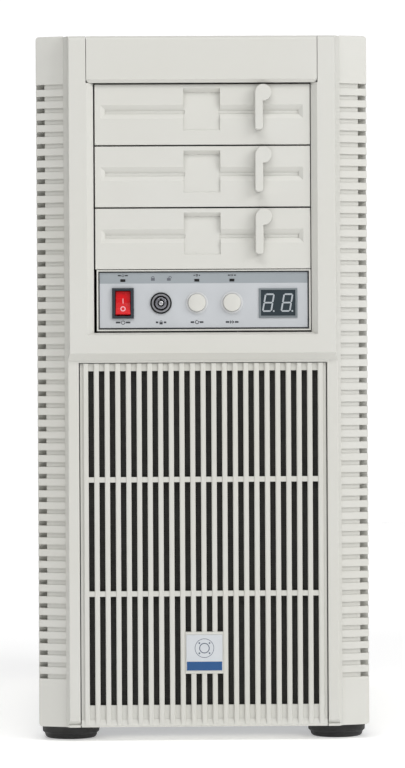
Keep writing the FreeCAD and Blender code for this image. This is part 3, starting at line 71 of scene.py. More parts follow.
BLACK_PLASTIC = (0.085, 0.085, 0.088)
# painted shade: the lock housing's outer bevel, a darker copy of its ring metal
LOCK_EDGE_SHADE = (0.17, 0.175, 0.175)
COLLAR_PAINTED_LIGHT = (0.83, 0.835, 0.84)  # plate round the buttons: the plate's grey, painted lighter to offset the shade round the buttons
LOCK_RING = (0.68, 0.68, 0.70)
LOCK_BOSS = (0.62, 0.62, 0.65)
LOCK_PIN = (0.92, 0.92, 0.93)
MESH_DARK = (0.17, 0.165, 0.15)
RUBBER = (0.150, 0.148, 0.146)
ZINC = (0.66, 0.67, 0.68)
BOARD_GREEN = (0.07, 0.24, 0.16)
JACK_COLOURS = ((0.30, 0.55, 0.24), (0.24, 0.42, 0.66), (0.80, 0.42, 0.50))


def linear(colour, alpha=1.0):
    """Screen colour to the linear colour that a shader takes."""
    return tuple(((c + 0.055) / 1.055) ** 2.4 if c > 0.04045 else c / 12.92 for c in colour) + (alpha,)


# ---------------------------------------------------------------- shader nodes
class Shader:
    """A material under construction, with short calls for its nodes."""

    def __init__(self, name):
        self.material = bpy.data.materials.new(name)
        self.material.use_nodes = True
        self.tree = self.material.node_tree
        self.surface = self.tree.nodes["Principled BSDF"]
        coords = self.tree.nodes.new("ShaderNodeTexCoord")
        self.place = coords.outputs["Object"]

    def node(self, kind, **settings):
        made = self.tree.nodes.new(kind)
        for key, value in settings.items():
            setattr(made, key, value)
        return made

    def link(self, source, target):
        if hasattr(source, "links"):
            self.tree.links.new(source, target)
        else:
            target.default_value = source

    def noise(self, scale, detail=2.0, roughness=0.5, stretch=None):
        made = self.node("ShaderNodeTexNoise")
        made.inputs["Scale"].default_value = scale
        made.inputs["Detail"].default_value = detail
        made.inputs["Roughness"].default_value = roughness
        self.link(self.stretched(stretch), made.inputs["Vector"])
        return made.outputs["Fac"]

    def cells(self, scale, feature="F1", output="Distance"):
        made = self.node("ShaderNodeTexVoronoi", feature=feature)
        made.inputs["Scale"].default_value = scale
        self.link(self.place, made.inputs["Vector"])
        return made.outputs[output]

    def stretched(self, stretch):
        if stretch is None:
            return self.place
        made = self.node("ShaderNodeMapping")
        made.inputs["Scale"].default_value = stretch
        self.link(self.place, made.inputs["Vector"])
        return made.outputs["Vector"]

    def maths(self, operation, a, b=0.5, c=0.0):
        made = self.node("ShaderNodeMath", operation=operation)
        for value, target in zip((a, b, c), made.inputs):
            self.link(value, target)
        return made.outputs[0]

    def ramp(self, value, low, high, to_low=0.0, to_high=1.0):
        made = self.node("ShaderNodeMapRange")
        for key, amount in zip(("From Min", "From Max", "To Min", "To Max"), (low, high, to_low, to_high)):
            made.inputs[key].default_value = amount
        self.link(value, made.inputs["Value"])
        return made.outputs["Result"]

    def mix(self, factor, a, b):
        made = self.node("ShaderNodeMix", data_type="RGBA")
        self.link(factor, made.inputs["Factor"])
        self.link(a, made.inputs["A"])
        self.link(b, made.inputs["B"])
        return made.outputs["Result"]

    def axis(self, letter):
        made = self.node("ShaderNodeSeparateXYZ")
        self.link(self.place, made.inputs[0])
        return made.outputs[letter]

    def distance(self, centre):
        """Distance from a point, seen from the front."""
        dx = self.maths("SUBTRACT", self.axis("X"), centre.x)
        dz = self.maths("SUBTRACT", self.axis("Z"), centre.z)
        squares = self.maths("ADD", self.maths("MULTIPLY", dx, dx), self.maths("MULTIPLY", dz, dz))
        return self.maths("SQRT", squares)

    def crevice(self, distance):
        """1 in the open, less in corners and gaps."""
        made = self.node("ShaderNodeAmbientOcclusion", samples=4)
        made.inputs["Distance"].default_value = distance
        return made.outputs["AO"]

    def bump(self, height, depth):
        """Adds a relief of this depth on top of any that the surface has."""
        made = self.node("ShaderNodeBump")
        made.inputs["Distance"].default_value = depth
        made.inputs["Strength"].default_value = 1.0
        self.link(height, made.inputs["Height"])
        if self.surface.inputs["Normal"].links:
            self.link(self.surface.inputs["Normal"].links[0].from_socket, made.inputs["Normal"])
        self.link(made.outputs["Normal"], self.surface.inputs["Normal"])

    def set(self, **values):
        for key, value in values.items():
            self.link(value, self.surface.inputs[key.replace("_", " ")])

    def roughness(self, scale, low, high):
        """Roughness that drifts between two values in patches."""
        self.set(Roughness=self.ramp(self.noise(scale), 0.3, 0.7, low, high))


def moulded(name, colour, aged=None, rough=0.46, grain=0.022, painted_shade=0.12, zones=None):
    """Moulded plastic: fine spark-eroded grain, faint tone drift, and painted shade that darkens its crevices."""
    s = Shader(name)
    drift = s.noise(7.0, 3.0)
    tone = s.mix(s.ramp(drift, 0.3, 0.7), linear(colour), linear(aged or colour))
    if zones:
        tone = zones(s, tone)
    # painted shade: the colour is darkened where ambient occlusion finds corners and gaps
    shade = s.ramp(s.crevice(0.004), 0.35, 1.0, 1.0 - painted_shade, 1.0)
    dark = s.node("ShaderNodeMix", data_type="RGBA", blend_type="MULTIPLY")
    dark.inputs["Factor"].default_value = 1.0
    s.link(tone, dark.inputs["A"])
    s.link(shade, dark.inputs["B"])
    s.bump(s.noise(3200.0, 2.0, 0.6), grain * MM)
    s.bump(s.noise(55.0, 2.0), 0.03 * MM)
    s.set(Base_Color=dark.outputs["Result"])
    s.roughness(160.0, rough - 0.05, rough + 0.06)
    s.surface.inputs["Specular IOR Level"].default_value = 0.42
    return s.material


RIM_BACK = 0.9 * MM  # the control frame's rim ends this far in front of the plate
COLLAR_RADIUS = 8.0 * MM


def control_frame_zones(s, tone):
    """Behind its ivory rim the control frame is painted dark as shade in the gap, and its button collars are
    painted paler than the plate to offset their shade.
    """
    # painted shade: the frame's surfaces set back past the rim take the dark channel colour
    behind = s.ramp(s.axis("Y"), FACE_Y - RIM_BACK, FACE_Y - RIM_BACK + 0.2 * MM)
    tone = s.mix(behind, tone, linear(CHANNEL_SHADE))
    # painted light: the collars match the plate's grey but lighter, to offset the shade round the buttons
    for node in ("reset_button", "turbo_button"):
        collar = s.ramp(s.distance(middle(node)), COLLAR_RADIUS, COLLAR_RADIUS + 0.1 * MM, 1.0, 0.0)
        tone = s.mix(collar, tone, linear(COLLAR_PAINTED_LIGHT))
    return tone


def painted_steel():
    """Powder-coated sheet: orange-peel surface and a soft gloss."""
    s = Shader("painted_steel")
    drift = s.noise(5.0, 2.0)
    tone = s.mix(s.ramp(drift, 0.35, 0.65), linear(IVORY), linear(IVORY_AGED))
    s.bump(s.noise(420.0, 2.0, 0.45), 0.05 * MM)
    s.bump(s.noise(2600.0, 1.0), 0.008 * MM)
    s.set(Base_Color=tone)
    s.roughness(90.0, 0.36, 0.46)
    return s.material


def zinc_steel(name="chassis_steel", colour=ZINC):
    """Zinc-plated sheet with spangle and fine rolling lines."""
    s = Shader(name)
    spangle = s.cells(110.0, output="Color")
    grey = s.node("ShaderNodeRGBToBW")
    s.link(spangle, grey.inputs[0])
    tone = s.mix(s.ramp(grey.outputs[0], 0.2, 0.8), linear(tuple(c * 0.93 for c in colour)), linear(colour))
    s.bump(s.noise(900.0, 2.0, 0.5, stretch=(0.05, 1.0, 1.0)), 0.006 * MM)
    s.set(Base_Color=tone, Roughness=s.ramp(grey.outputs[0], 0.2, 0.8, 0.28, 0.42), Metallic=0.92)
    return s.material


def turned_metal(name, colour, rough):
    """Plated metal with fine turning marks."""
    s = Shader(name)
    s.bump(s.noise(2400.0, 2.0, 0.5, stretch=(1.0, 0.2, 1.0)), 0.01 * MM)
    tone = s.mix(s.noise(300.0, 2.0), linear(tuple(c * 0.95 for c in colour)), linear(colour))
    s.set(Base_Color=tone, Metallic=1.0)
    s.roughness(900.0, rough, rough + 0.1)
    return s.material


def lock_barrel(name, inner, outer, edge, rough, depth):
    """Turned metal, inner inside the edge radius and outer past it; recesses past depth are painted black as
    shade.
    """
    s = Shader(name)
    s.bump(s.noise(2400.0, 2.0, 0.5, stretch=(1.0, 0.2, 1.0)), 0.01 * MM)
    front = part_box(name)[0].y
    # painted shade: surfaces deeper than depth behind the front turn black and lose their metal
    unshaded_front = s.ramp(s.axis("Y"), front + depth, front + depth + 0.3 * MM, 1.0, 0.0)
    # past the edge radius the outer colour: for the housing this is painted shade on its outer bevel
    outside = s.ramp(s.distance(middle("lock_housing")), edge, edge + 0.2 * MM)
    tone = s.mix(outside, linear(inner), linear(outer))
    tone = s.mix(s.ramp(s.noise(300.0, 2.0), 0.3, 0.7, 0.0, 0.1), tone, linear(BLACK_PLASTIC))
    s.set(Base_Color=s.mix(unshaded_front, linear(BLACK_PLASTIC), tone), Metallic=s.maths("MULTIPLY", unshaded_front, 0.8))
    s.roughness(900.0, rough, rough + 0.1)
    return s.material


BAND_RISE = 13.4 * MM  # the dark band starts this far above the buttons' middle


def control_face():
    """Two-tone printed plate: a darker band along the top, light grey below."""
    s = Shader("control_face")
    band = s.maths("GREATER_THAN", s.axis("Z"), BUTTON.z + BAND_RISE)
    tone = s.mix(band, linear(FACE_LIGHT), linear(FACE_BAND))
    tone = s.mix(s.ramp(s.noise(40.0, 2.0), 0.3, 0.7, 0.0, 0.05), tone, linear(SLATE))
    s.bump(s.noise(2600.0, 2.0, 0.6), 0.012 * MM)
    s.set(Base_Color=tone)
    s.roughness(140.0, 0.42, 0.52)
    return s.material


def red_rocker():
    s = Shader("red_plastic")
    tone = s.mix(s.noise(120.0, 2.0), linear(ROCKER_RED), linear(tuple(c * 0.94 for c in ROCKER_RED)))
    s.bump(s.noise(900.0, 2.0), 0.006 * MM)
    s.set(Base_Color=tone)
    s.roughness(200.0, 0.22, 0.32)
    s.surface.inputs["Subsurface Weight"].default_value = 0.08
    s.surface.inputs["Subsurface Scale"].default_value = 1.0 * MM
    return s.material


GAUZE_TURNS = 5200.0  # radians of weave per metre, a thread every 1.2 mm


def filter_mesh():
    """Woven nylon gauze, near black."""
    s = Shader("filter_mesh")
    warp = s.maths("SINE", s.maths("MULTIPLY", s.axis("X"), GAUZE_TURNS))
    weft = s.maths("SINE", s.maths("MULTIPLY", s.axis("Z"), GAUZE_TURNS))
    weave = s.maths("MAXIMUM", warp, weft)
    tone = s.mix(s.ramp(weave, 0.2, 1.0), linear(tuple(c * 0.55 for c in MESH_DARK)), linear(MESH_DARK))
    s.bump(weave, 0.1 * MM)
    s.set(Base_Color=tone)
    s.roughness(200.0, 0.6, 0.75)
    return s.material


def rubber():
    s = Shader("foot_rubber")
    tone = s.mix(s.ramp(s.noise(60.0, 3.0), 0.3, 0.7), linear(RUBBER), linear(tuple(c * 0.8 for c in RUBBER)))
    s.bump(s.noise(1800.0, 3.0, 0.6), 0.04 * MM)
    s.set(Base_Color=tone)
    s.roughness(150.0, 0.5, 0.68)
    return s.material


def circuit_board():
    """Green solder mask with faint tracks under it."""
    s = Shader("circuit_board")
    tracks = s.cells(260.0, feature="DISTANCE_TO_EDGE")
    between = s.ramp(tracks, 0.02, 0.08)
    tone = s.mix(between, linear(tuple(c * 1.5 for c in BOARD_GREEN)), linear(BOARD_GREEN))
    s.bump(between, 0.03 * MM)
    s.set(Base_Color=tone)
    s.roughness(100.0, 0.25, 0.4)
    return s.material


def brushed_fins():
    s = Shader("cooler_aluminium")
    s.bump(s.noise(1500.0, 2.0, 0.5, stretch=(1.0, 1.0, 0.05)), 0.01 * MM)
    tone = s.mix(s.noise(80.0), linear((0.80, 0.81, 0.82)), linear((0.88, 0.885, 0.89)))
    s.set(Base_Color=tone, Metallic=1.0)
    s.roughness(300.0, 0.25, 0.38)
    return s.material


def printed(name, colour):
    """Screen-printed ink."""
    s = Shader(name)
    thin = s.ramp(s.noise(1500.0), 0.3, 0.7, 0.0, 0.12)
    tone = s.mix(thin, linear(colour), linear(tuple(c * 0.7 for c in colour)))
    s.set(Base_Color=tone)
    s.roughness(400.0, 0.4, 0.55)
    return s.material


def glassy(name, colour, rough=0.12):
    """Smooth gloss surface, such as a display window or a domed label."""
    s = Shader(name)
    tone = s.mix(s.noise(30.0, 2.0), linear(colour), linear(tuple(c * 0.93 for c in colour)))
    s.bump(s.noise(300.0), 0.004 * MM)
    s.set(Base_Color=tone)
    s.roughness(120.0, rough, rough + 0.06)
    return s.material


# ---------------------------------------------------------------- places taken from the frame
def middle(node):
    low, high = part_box(node)
    return (low + high) / 2


BUTTON = middle("reset_button")
FACE_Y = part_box("control_plate")[0].y


# ---------------------------------------------------------------- mesh helpers
def new_object(name, bm, material):
    bmesh.ops.recalc_face_normals(bm, faces=bm.faces)
    mesh = bpy.data.meshes.new(name)
    bm.to_mesh(mesh)
    bm.free()
    mesh.materials.append(material)
    made = bpy.data.objects.new(name, mesh)
    bpy.context.scene.collection.objects.link(made)
    return made


def slab(bm, outline, y, thick):
    """Closed plate with an outline in (x, z); its front is at y."""
    front = [bm.verts.new((x, y, z)) for x, z in outline]
    back = [bm.verts.new((x, y + thick, z)) for x, z in outline]
    bm.faces.new(front)
    bm.faces.new(back[::-1])
    bridge(bm, back, front)


def circle(bm, x, y, z, radius, steps):
    """Loop of vertices round the Y direction."""
    turns = [math.tau * i / steps for i in range(steps)]
    return [bm.verts.new((x + radius * math.cos(a), y, z + radius * math.sin(a))) for a in turns]


def bridge(bm, a, b):
    """Band of faces between two loops of equal length."""
    for i in range(len(a)):
        j = (i + 1) % len(a)
        bm.faces.new((a[i], a[j], b[j], b[i]))


def loop_solid(bm, loops):
    """Closed band through the loops, the last joined to the first."""
    for a, b in zip(loops, loops[1:] + loops[:1]):
        bridge(bm, a, b)


def ring(bm, x, z, inner, outer, y, thick, steps=40):
    """Closed flat ring; its front is at y."""
    section = ((inner, y), (outer, y), (outer, y + thick), (inner, y + thick))
    loop_solid(bm, [circle(bm, x, at, z, radius, steps) for radius, at in section])


def rectangle(x, z, wide, tall):
    return [
        (x - wide / 2, z - tall / 2),
        (x + wide / 2, z - tall / 2),
        (x + wide / 2, z + tall / 2),
        (x - wide / 2, z + tall / 2),
    ]


def arc_band(x, z, radius, width, start, end, steps=20):
    """Outline of a stretch of ring, in degrees counted from +X towards +Z."""
    angles = [math.radians(start + (end - start) * i / steps) for i in range(steps + 1)]
    far, near = radius + width / 2, radius - width / 2
    outer = [(x + far * math.cos(a), z + far * math.sin(a)) for a in angles]
    inner = [(x + near * math.cos(a), z + near * math.sin(a)) for a in angles]
    return outer + inner[::-1]


# ---------------------------------------------------------------- marks on the control panel
def symbol_power(bm, x, z, size, y):
    slab(bm, arc_band(x, z, size * 0.42, size * 0.15, 125, 415), y, PRINT)
    slab(bm, rectangle(x, z + size * 0.32, size * 0.15, size * 0.5), y, PRINT)


def symbol_lock(bm, x, z, size, y, lifted=0.0):
    """Padlock, its bow moved to the side when it is open."""
    slab(bm, rectangle(x, z - size * 0.22, size * 0.72, size * 0.52), y, PRINT)
    bow_x, bow_half, rod = x + lifted * size, size * 0.24, size * 0.12
    slab(bm, arc_band(bow_x, z + size * 0.1, bow_half, rod, 0, 180), y, PRINT)
    for s in (-1, 1):
        slab(bm, rectangle(bow_x + s * bow_half, z + size * 0.07, rod, size * 0.1), y, PRINT)


def symbol_turn(bm, x, z, size, y):
    """Round arrow, for a restart."""
    slab(bm, arc_band(x, z, size * 0.38, size * 0.16, 70, 350), y, PRINT)
    tip_x, half = x + size * 0.38, size * 0.24
    slab(bm, [(tip_x - half, z), (tip_x + half, z), (tip_x, z + size * 0.3)], y, PRINT)


def symbol_fast(bm, x, z, size, y):
    """Two arrowheads, for a faster speed."""
    for dx in (-0.46, 0.06):
        left = x + dx * size
        slab(bm, [(left, z - size * 0.42), (left + size * 0.44, z), (left, z + size * 0.42)], y, PRINT)


def symbol_drive(bm, x, z, size, y):
    ring(bm, x, z, size * 0.26, size * 0.44, y, PRINT, 24)
    slab(bm, rectangle(x, z, size * 0.2, size * 0.2), y, PRINT)


def flanked(bm, x, z, gap, reach, thick, y):
    """Short rules at both sides of a symbol."""
    for s in (-1, 1):
        slab(bm, rectangle(x + s * (gap + reach) / 2, z, reach - gap, thick), y, PRINT)


def place(name, bm, material, slot, body="chassis"):
    """Finishes a mesh as a piece of the model on its body; the slot argument is not used."""
    piece = new_object(name, bm, material)
    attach(piece, body)


# each row's symbols, with how far out the rules beside them reach
CONTROL_ROW_MM = (
    ("power_switch_housing", symbol_power, 5.0),
    ("lock_housing", symbol_lock, 3.6),
    ("reset_button", symbol_turn, 4.4),
    ("turbo_button", symbol_fast, 4.4),
)
LIGHT_ROW_MM = (
    ("power_switch_housing", symbol_power, 3.5),
    ("reset_button", symbol_drive, 2.2),
    ("turbo_button", symbol_fast, 2.8),
)
# heights from the buttons' middle
CONTROL_ROW_RISE = -13.4 * MM
LIGHT_ROW_RISE = 18.9 * MM
PADLOCK_RISE = 17.0 * MM
PADLOCK_SIDE, PADLOCK_SIZE = 5.5 * MM, 3.6 * MM


def mark_row(name, marks, ink, rise, size, gap, thick):
    """Symbols, each with a rule at both sides that starts at the gap."""
    y, z = FACE_Y - PRINT, BUTTON.z + rise
    bm = bmesh.new()
    for node, symbol, reach in marks:
        x = middle(node).x
        symbol(bm, x, z, size, y)
        flanked(bm, x, z, gap, reach * MM, thick, y)
    place(name, bm, ink, "control_face")


def control_marks():
    """Plain symbols in place of words: a row under the controls, one above the lights, two padlocks."""
    ink = printed("panel_ink", INK)
    mark_row("control_marks", CONTROL_ROW_MM, ink, CONTROL_ROW_RISE, 3.0 * MM, 1.9 * MM, 1.2 * MM)
    ink = printed("band_ink", BAND_INK)
    mark_row("light_marks", LIGHT_ROW_MM, ink, LIGHT_ROW_RISE, 1.9 * MM, 1.4 * MM, 0.8 * MM)

    bm = bmesh.new()
    x, z = middle("lock_housing").x, BUTTON.z + PADLOCK_RISE
    symbol_lock(bm, x - PADLOCK_SIDE, z, PADLOCK_SIZE, FACE_Y - PRINT)
    symbol_lock(bm, x + PADLOCK_SIDE, z, PADLOCK_SIZE, FACE_Y - PRINT, lifted=0.24)
    place("lock_marks", bm, printed("lock_ink", LOCK_INK), "control_face")


# ---------------------------------------------------------------- marks on the rocker
ROCKER_TILT = math.radians(-9)
ROCKER_DIP = 2.3 * MM  # the rocker's face is this far in front of its pivot at the middle
ROCKER_SLOPE = 0.125  # and this much further per length, towards its ends
MARK_PROUD, MARK_SUNK = 0.12 * MM, -0.1 * MM  # front and back of the marks, out of the face
BAR_HALF = 0.25 * MM
BAR_ROWS_MM = (-0.5, 0.0, 1.5, 3.0)
RING_MIDDLE, RING_INNER, RING_OUTER = -4.3 * MM, 1.15 * MM, 1.8 * MM
RING_STEPS = 40


def rocker_point(x, z, lift):
    """Point on the V-shaped rocker face: z counts from its middle, lift is out of the face."""
    joint = next(j for j in frame["joints"] if j["name"] == "power_rocker_tilt")
    pivot = Vector(joint["pos_m"])
    depth = ROCKER_DIP + ROCKER_SLOPE * abs(z) + lift
    offset = Matrix.Rotation(ROCKER_TILT, 3, "X") @ Vector((0, -depth, z))
    return pivot + offset + Vector((x, 0, 0))


def rocker_marks():
    """The bar and ring of an on-off switch, moulded on its rocker."""
    bm = bmesh.new()
    corners = ((-BAR_HALF, MARK_PROUD), (BAR_HALF, MARK_PROUD), (BAR_HALF, MARK_SUNK), (-BAR_HALF, MARK_SUNK))
    columns = [[bm.verts.new(rocker_point(x, z * MM, lift)) for z in BAR_ROWS_MM] for x, lift in corners]
    for a, b in zip(columns, columns[1:] + columns[:1]):
        for i in range(len(BAR_ROWS_MM) - 1):
            bm.faces.new((a[i], b[i], b[i + 1], a[i + 1]))
    for end in (0, -1):
        bm.faces.new([column[end] for column in columns])

    turns = [math.tau * i / RING_STEPS for i in range(RING_STEPS)]
    inner = [(RING_INNER, lift) for lift in (MARK_SUNK, MARK_PROUD)]
    outer = [(RING_OUTER, lift) for lift in (MARK_PROUD, MARK_SUNK)]
    loops = []
    for radius, lift in inner + outer:
        points = [(radius * math.cos(a), RING_MIDDLE + radius * math.sin(a)) for a in turns]
        loops.append([bm.verts.new(rocker_point(x, z, lift)) for x, z in points])
    loop_solid(bm, loops)
    place("rocker_marks", bm, printed("mark_pink", MARK_PINK), "red_plastic", "power_rocker")


# ---------------------------------------------------------------- display
DIGIT_TALL, DIGIT_WIDE = 11.6 * MM, 5.8 * MM  # between the middles of its bars
DIGIT_STROKE = 1.05 * MM
DIGIT_SLANT = 0.175
DIGIT_PITCH = 12.8 * MM
DIGIT_RISE = 0.1 * MM  # the digits' middle above the window's
DIGIT_SHIFT = -0.3 * MM  # and to the side of it
POINT_RADIUS, POINT_GAP = 0.6 * MM, 1.75 * MM


def segment(bm, start, end, origin, y):
    """One bar of a digit, with pointed ends."""
    start, end = Vector(start), Vector(end)
    along = (end - start).normalized()
    side = Vector((-along.y, along.x)) * DIGIT_STROKE / 2
    tip = along * DIGIT_STROKE / 2
    a, b = start + along * 0.1 * MM, end - along * 0.1 * MM
    points = [a, a + tip - side, b - tip - side, b, b - tip + side, a + tip + side]
    slab(bm, [(origin.x + p.x + DIGIT_SLANT * p.y, origin.z + p.y) for p in points], y, PRINT)


def display_digits():
    """Two slanted seven-bar eights with their points, unlit."""
    centre = middle("display_module") + Vector((DIGIT_SHIFT, 0, DIGIT_RISE))
    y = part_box("display_module")[0].y - PRINT
    bm = bmesh.new()
    for s in (-0.5, 0.5):
        origin = centre + Vector((s * DIGIT_PITCH, 0, 0))
        w, h = DIGIT_WIDE / 2, DIGIT_TALL / 2
        for z in (-h, 0, h):
            segment(bm, (-w, z), (w, z), origin, y)
        for x in (-w, w):
            segment(bm, (x, -h), (x, 0), origin, y)
            segment(bm, (x, 0), (x, h), origin, y)
        point_x = origin.x + w + POINT_GAP - DIGIT_SLANT * h
        ring(bm, point_x, origin.z - h, 0.02 * MM, POINT_RADIUS, y, PRINT, 16)
    place("display_digits", bm, printed("segment_grey", SEGMENT), "display_dark")


# ---------------------------------------------------------------- badge
BADGE_INSET = 0.35 * MM
BADGE_BAND = 0.257  # height of the blue band, as a share of the badge's width
BADGE_RINGS_MM = ((6.3, 6.65, 64), (3.0, 3.6, 48))  # radii and steps
BADGE_DOTS = 4
BADGE_DOT_AT, BADGE_DOT_RADIUS = 4.95 * MM, 0.6 * MM


def badge_print():
    """Plain badge face: a blue band below, and two thin rings with dots between them above."""
    low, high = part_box("badge")
    y, wide = low.y - PRINT, high.x - low.x
    band_low, band_top = low.z + BADGE_INSET, low.z + wide * BADGE_BAND
    x, z = (low.x + high.x) / 2, (band_low + band_top) / 2
    bm = bmesh.new()
    slab(bm, rectangle(x, z, wide - 2 * BADGE_INSET, band_top - band_low), y, PRINT)
    place("badge_band", bm, glassy("badge_blue", BADGE_BLUE, 0.2), "badge_white", "front_grille")

    bm = bmesh.new()
    z = (band_top + high.z) / 2
    for inner, outer, steps in BADGE_RINGS_MM:
        ring(bm, x, z, inner * MM, outer * MM, y, PRINT, steps)
    for k in range(BADGE_DOTS):
        a = math.tau * (k + 0.5) / BADGE_DOTS
        dot_x, dot_z = x + BADGE_DOT_AT * math.cos(a), z + BADGE_DOT_AT * math.sin(a)
        ring(bm, dot_x, dot_z, 0.05 * MM, BADGE_DOT_RADIUS, y, PRINT, 20)
    place("badge_rings", bm, printed("badge_ink", BADGE_INK), "badge_white", "front_grille")


# ---------------------------------------------------------------- dark strips behind the bay gaps, painted shade
PLATE_THICK = 4.6 * MM  # of a faceplate
STRIP_HALF, STRIP_THICK, STRIP_BEVEL = 68.0 * MM, 1.0 * MM, 0.2 * MM
SHADED_GAP_PARTS = ("bay_cover_1", "bay_cover_2", "bay_cover_3", "control_frame")  # from the top


def bay_gap_shades():
    """Dark strips behind the gaps under the three faceplates: painted shade, so the gaps read dark."""
    bm = bmesh.new()
    for upper, lower in zip(SHADED_GAP_PARTS, SHADED_GAP_PARTS[1:]):
        over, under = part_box(upper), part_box(lower)
        low, high = under[1].z + 0.1 * MM, over[0].z + 1.1 * MM
        outline = [
            (-STRIP_HALF, low),
            (STRIP_HALF, low),
            (STRIP_HALF, high - STRIP_BEVEL),
            (STRIP_HALF - STRIP_BEVEL, high),
            (STRIP_BEVEL - STRIP_HALF, high),
            (-STRIP_HALF, high - STRIP_BEVEL),
        ]
        slab(bm, outline, over[0].y + PLATE_THICK + 0.5 * MM, STRIP_THICK)
    # painted shade: a near-black sheet behind each gap
    place("bay_gap_shades", bm, moulded("gap_shade_black", (0.07, 0.07, 0.07), rough=0.8), "dark_plastic")


# ---------------------------------------------------------------- rear details
def screw_head(bm, x, z, radius, y):
    """Pan head seen from the rear, with a round edge and a cross recess; its seat is at y."""
    tall = radius * 0.45
    profile = ((radius, 0.0), (radius, tall * 0.45), (radius * 0.86, tall * 0.85), (radius * 0.66, tall))
    steps = 32
    loops = [circle(bm, x, y + up, z, r, steps) for r, up in profile]
    for a, b in zip(loops, loops[1:]):
        bridge(bm, a, b)
    bm.faces.new(loops[0])
    wide, narrow = radius * 0.52, radius * 0.13
    corners = []
    for k in range(4):
        turn = Matrix.Rotation(math.radians(90 * k), 2)
        corners += [turn @ Vector(p) for p in ((narrow, narrow), (wide, narrow), (wide, -narrow))][::-1]
    rim = [bm.verts.new((x + p.x, y + tall, z + p.y)) for p in corners]
    floor = [bm.verts.new((x + p.x * 0.8, y + tall * 0.35, z + p.y * 0.8)) for p in corners]
    bridge(bm, rim, floor)
    bm.faces.new(floor)
    edges = [bm.edges.get(pair) for loop in (loops[-1], rim) for pair in zip(loop, loop[1:] + loop[:1])]
    bmesh.ops.triangle_fill(bm, edges=edges, use_beauty=True)


def corner_screws(bm, node, x_in, z_in, radius, y):
    """Four screw heads, this far in from the sides and from the top and bottom of a node."""
    low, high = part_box(node)
    for x in (low.x + x_in, high.x - x_in):
        for z in (low.z + z_in, high.z - z_in):
            screw_head(bm, x, z, radius, y)


def rear_screws():
    """Screws of the rear fan and of the power supply."""
    bm = bmesh.new()
    corner_screws(bm, "rear_fan_frame", 7.5 * MM, 7.5 * MM, 3.4 * MM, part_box("rear_panel")[1].y)
    corner_screws(bm, "psu_case", 7.5 * MM, 9.0 * MM, 2.8 * MM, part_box("psu_case")[1].y)
    place("rear_screws", bm, turned_metal("rear_screw_steel", (0.62, 0.62, 0.63), 0.3), "screw_steel")


# how high each stack of rear sockets starts above the shield's foot, how tall and how wide it is
SOCKETS_MM = ((8, 14, 32), (28, 16, 28), (50, 16, 30), (72, 20, 28), (98, 15, 22))
JACKS_MM, JACK_PITCH_MM, JACKS_WIDE_MM = 125.0, 9.0, 24.0


def rear_sockets():
    """Mouths of the rear sockets, two to a stack, with a tongue in each, and three round jacks."""
    x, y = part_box("board_connectors")[1].x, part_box("board_connectors")[1].y
    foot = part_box("io_shield")[0].z
    mouths, tongues = bmesh.new(), bmesh.new()
    for start, tall, wide in SOCKETS_MM:
        across, high = (wide - 6.0) * MM, (tall - 5.0) / 2 * MM
        for row in (0.27, 0.73):
            at = (x - wide / 2 * MM, foot + (start + tall * row) * MM)
            slab(mouths, rectangle(*at, across, high), y, PRINT)
            slab(tongues, rectangle(at[0], at[1] + high * 0.1, across * 0.82, high * 0.28), y + PRINT, PRINT)
    place("socket_mouths", mouths, moulded("mouth_black", (0.05, 0.05, 0.055)), "connector_black")
    place("socket_tongues", tongues, moulded("tongue_grey", (0.62, 0.63, 0.66)), "connector_black")
    for k, colour in enumerate(JACK_COLOURS):
        bm = bmesh.new()
        z = foot + (JACKS_MM + k * JACK_PITCH_MM) * MM
        ring(bm, x - JACKS_WIDE_MM / 2 * MM, z, 1.8 * MM, 3.6 * MM, y, 0.4 * MM, 32)
        place(f"jack_ring_{k + 1}", bm, moulded(f"jack_{k + 1}", colour), "connector_black")


# ---------------------------------------------------------------- stage, light and camera
FLOOR_RADIUS = 3.0
FLOOR_STEPS = 96
BACKDROP_RADIUS = 12.0
WORLD_STRENGTH = 0.27
FLOOR_GLOW = 0.36
KEY_POWER = 51.0
FILL_POWER = 19.5
TOP_POWER = 1.0
BACK_POWER = 40.0


def white_stage():
    """Pale floor, and a white backdrop dome that only the camera sees."""
    bm = bmesh.new()
    bmesh.ops.create_circle(bm, cap_ends=True, radius=FLOOR_RADIUS, segments=FLOOR_STEPS)
    s = Shader("floor_white")
    tone = s.mix(s.noise(3.0), linear((0.955, 0.955, 0.955)), linear((0.965, 0.965, 0.965)))
    s.set(Base_Color=tone, Roughness=0.9)
    s.surface.inputs["Emission Color"].default_value = (1.0, 1.0, 1.0, 1.0)
    s.surface.inputs["Emission Strength"].default_value = FLOOR_GLOW
    new_object("floor", bm, s.material)

    bm = bmesh.new()
    bmesh.ops.create_icosphere(bm, subdivisions=4, radius=BACKDROP_RADIUS)
    glow = bpy.data.materials.new("backdrop_white")
    glow.use_nodes = True
    surface = glow.node_tree.nodes["Principled BSDF"]
    surface.inputs["Base Color"].default_value = (0.0, 0.0, 0.0, 1.0)
    surface.inputs["Emission Color"].default_value = (1.0, 1.0, 1.0, 1.0)
    surface.inputs["Emission Strength"].default_value = 1.05
    dome = new_object("backdrop", bm, glow)
    for kind in ("diffuse", "glossy", "transmission", "shadow", "volume_scatter"):
        setattr(dome, "visible_" + kind, False)

    world = bpy.context.scene.world or bpy.data.worlds.new("world")
    bpy.context.scene.world = world
    world.use_nodes = True
    background = world.node_tree.nodes["Background"]
    background.inputs["Color"].default_value = (1.0, 1.0, 1.0, 1.0)
    background.inputs["Strength"].default_value = WORLD_STRENGTH


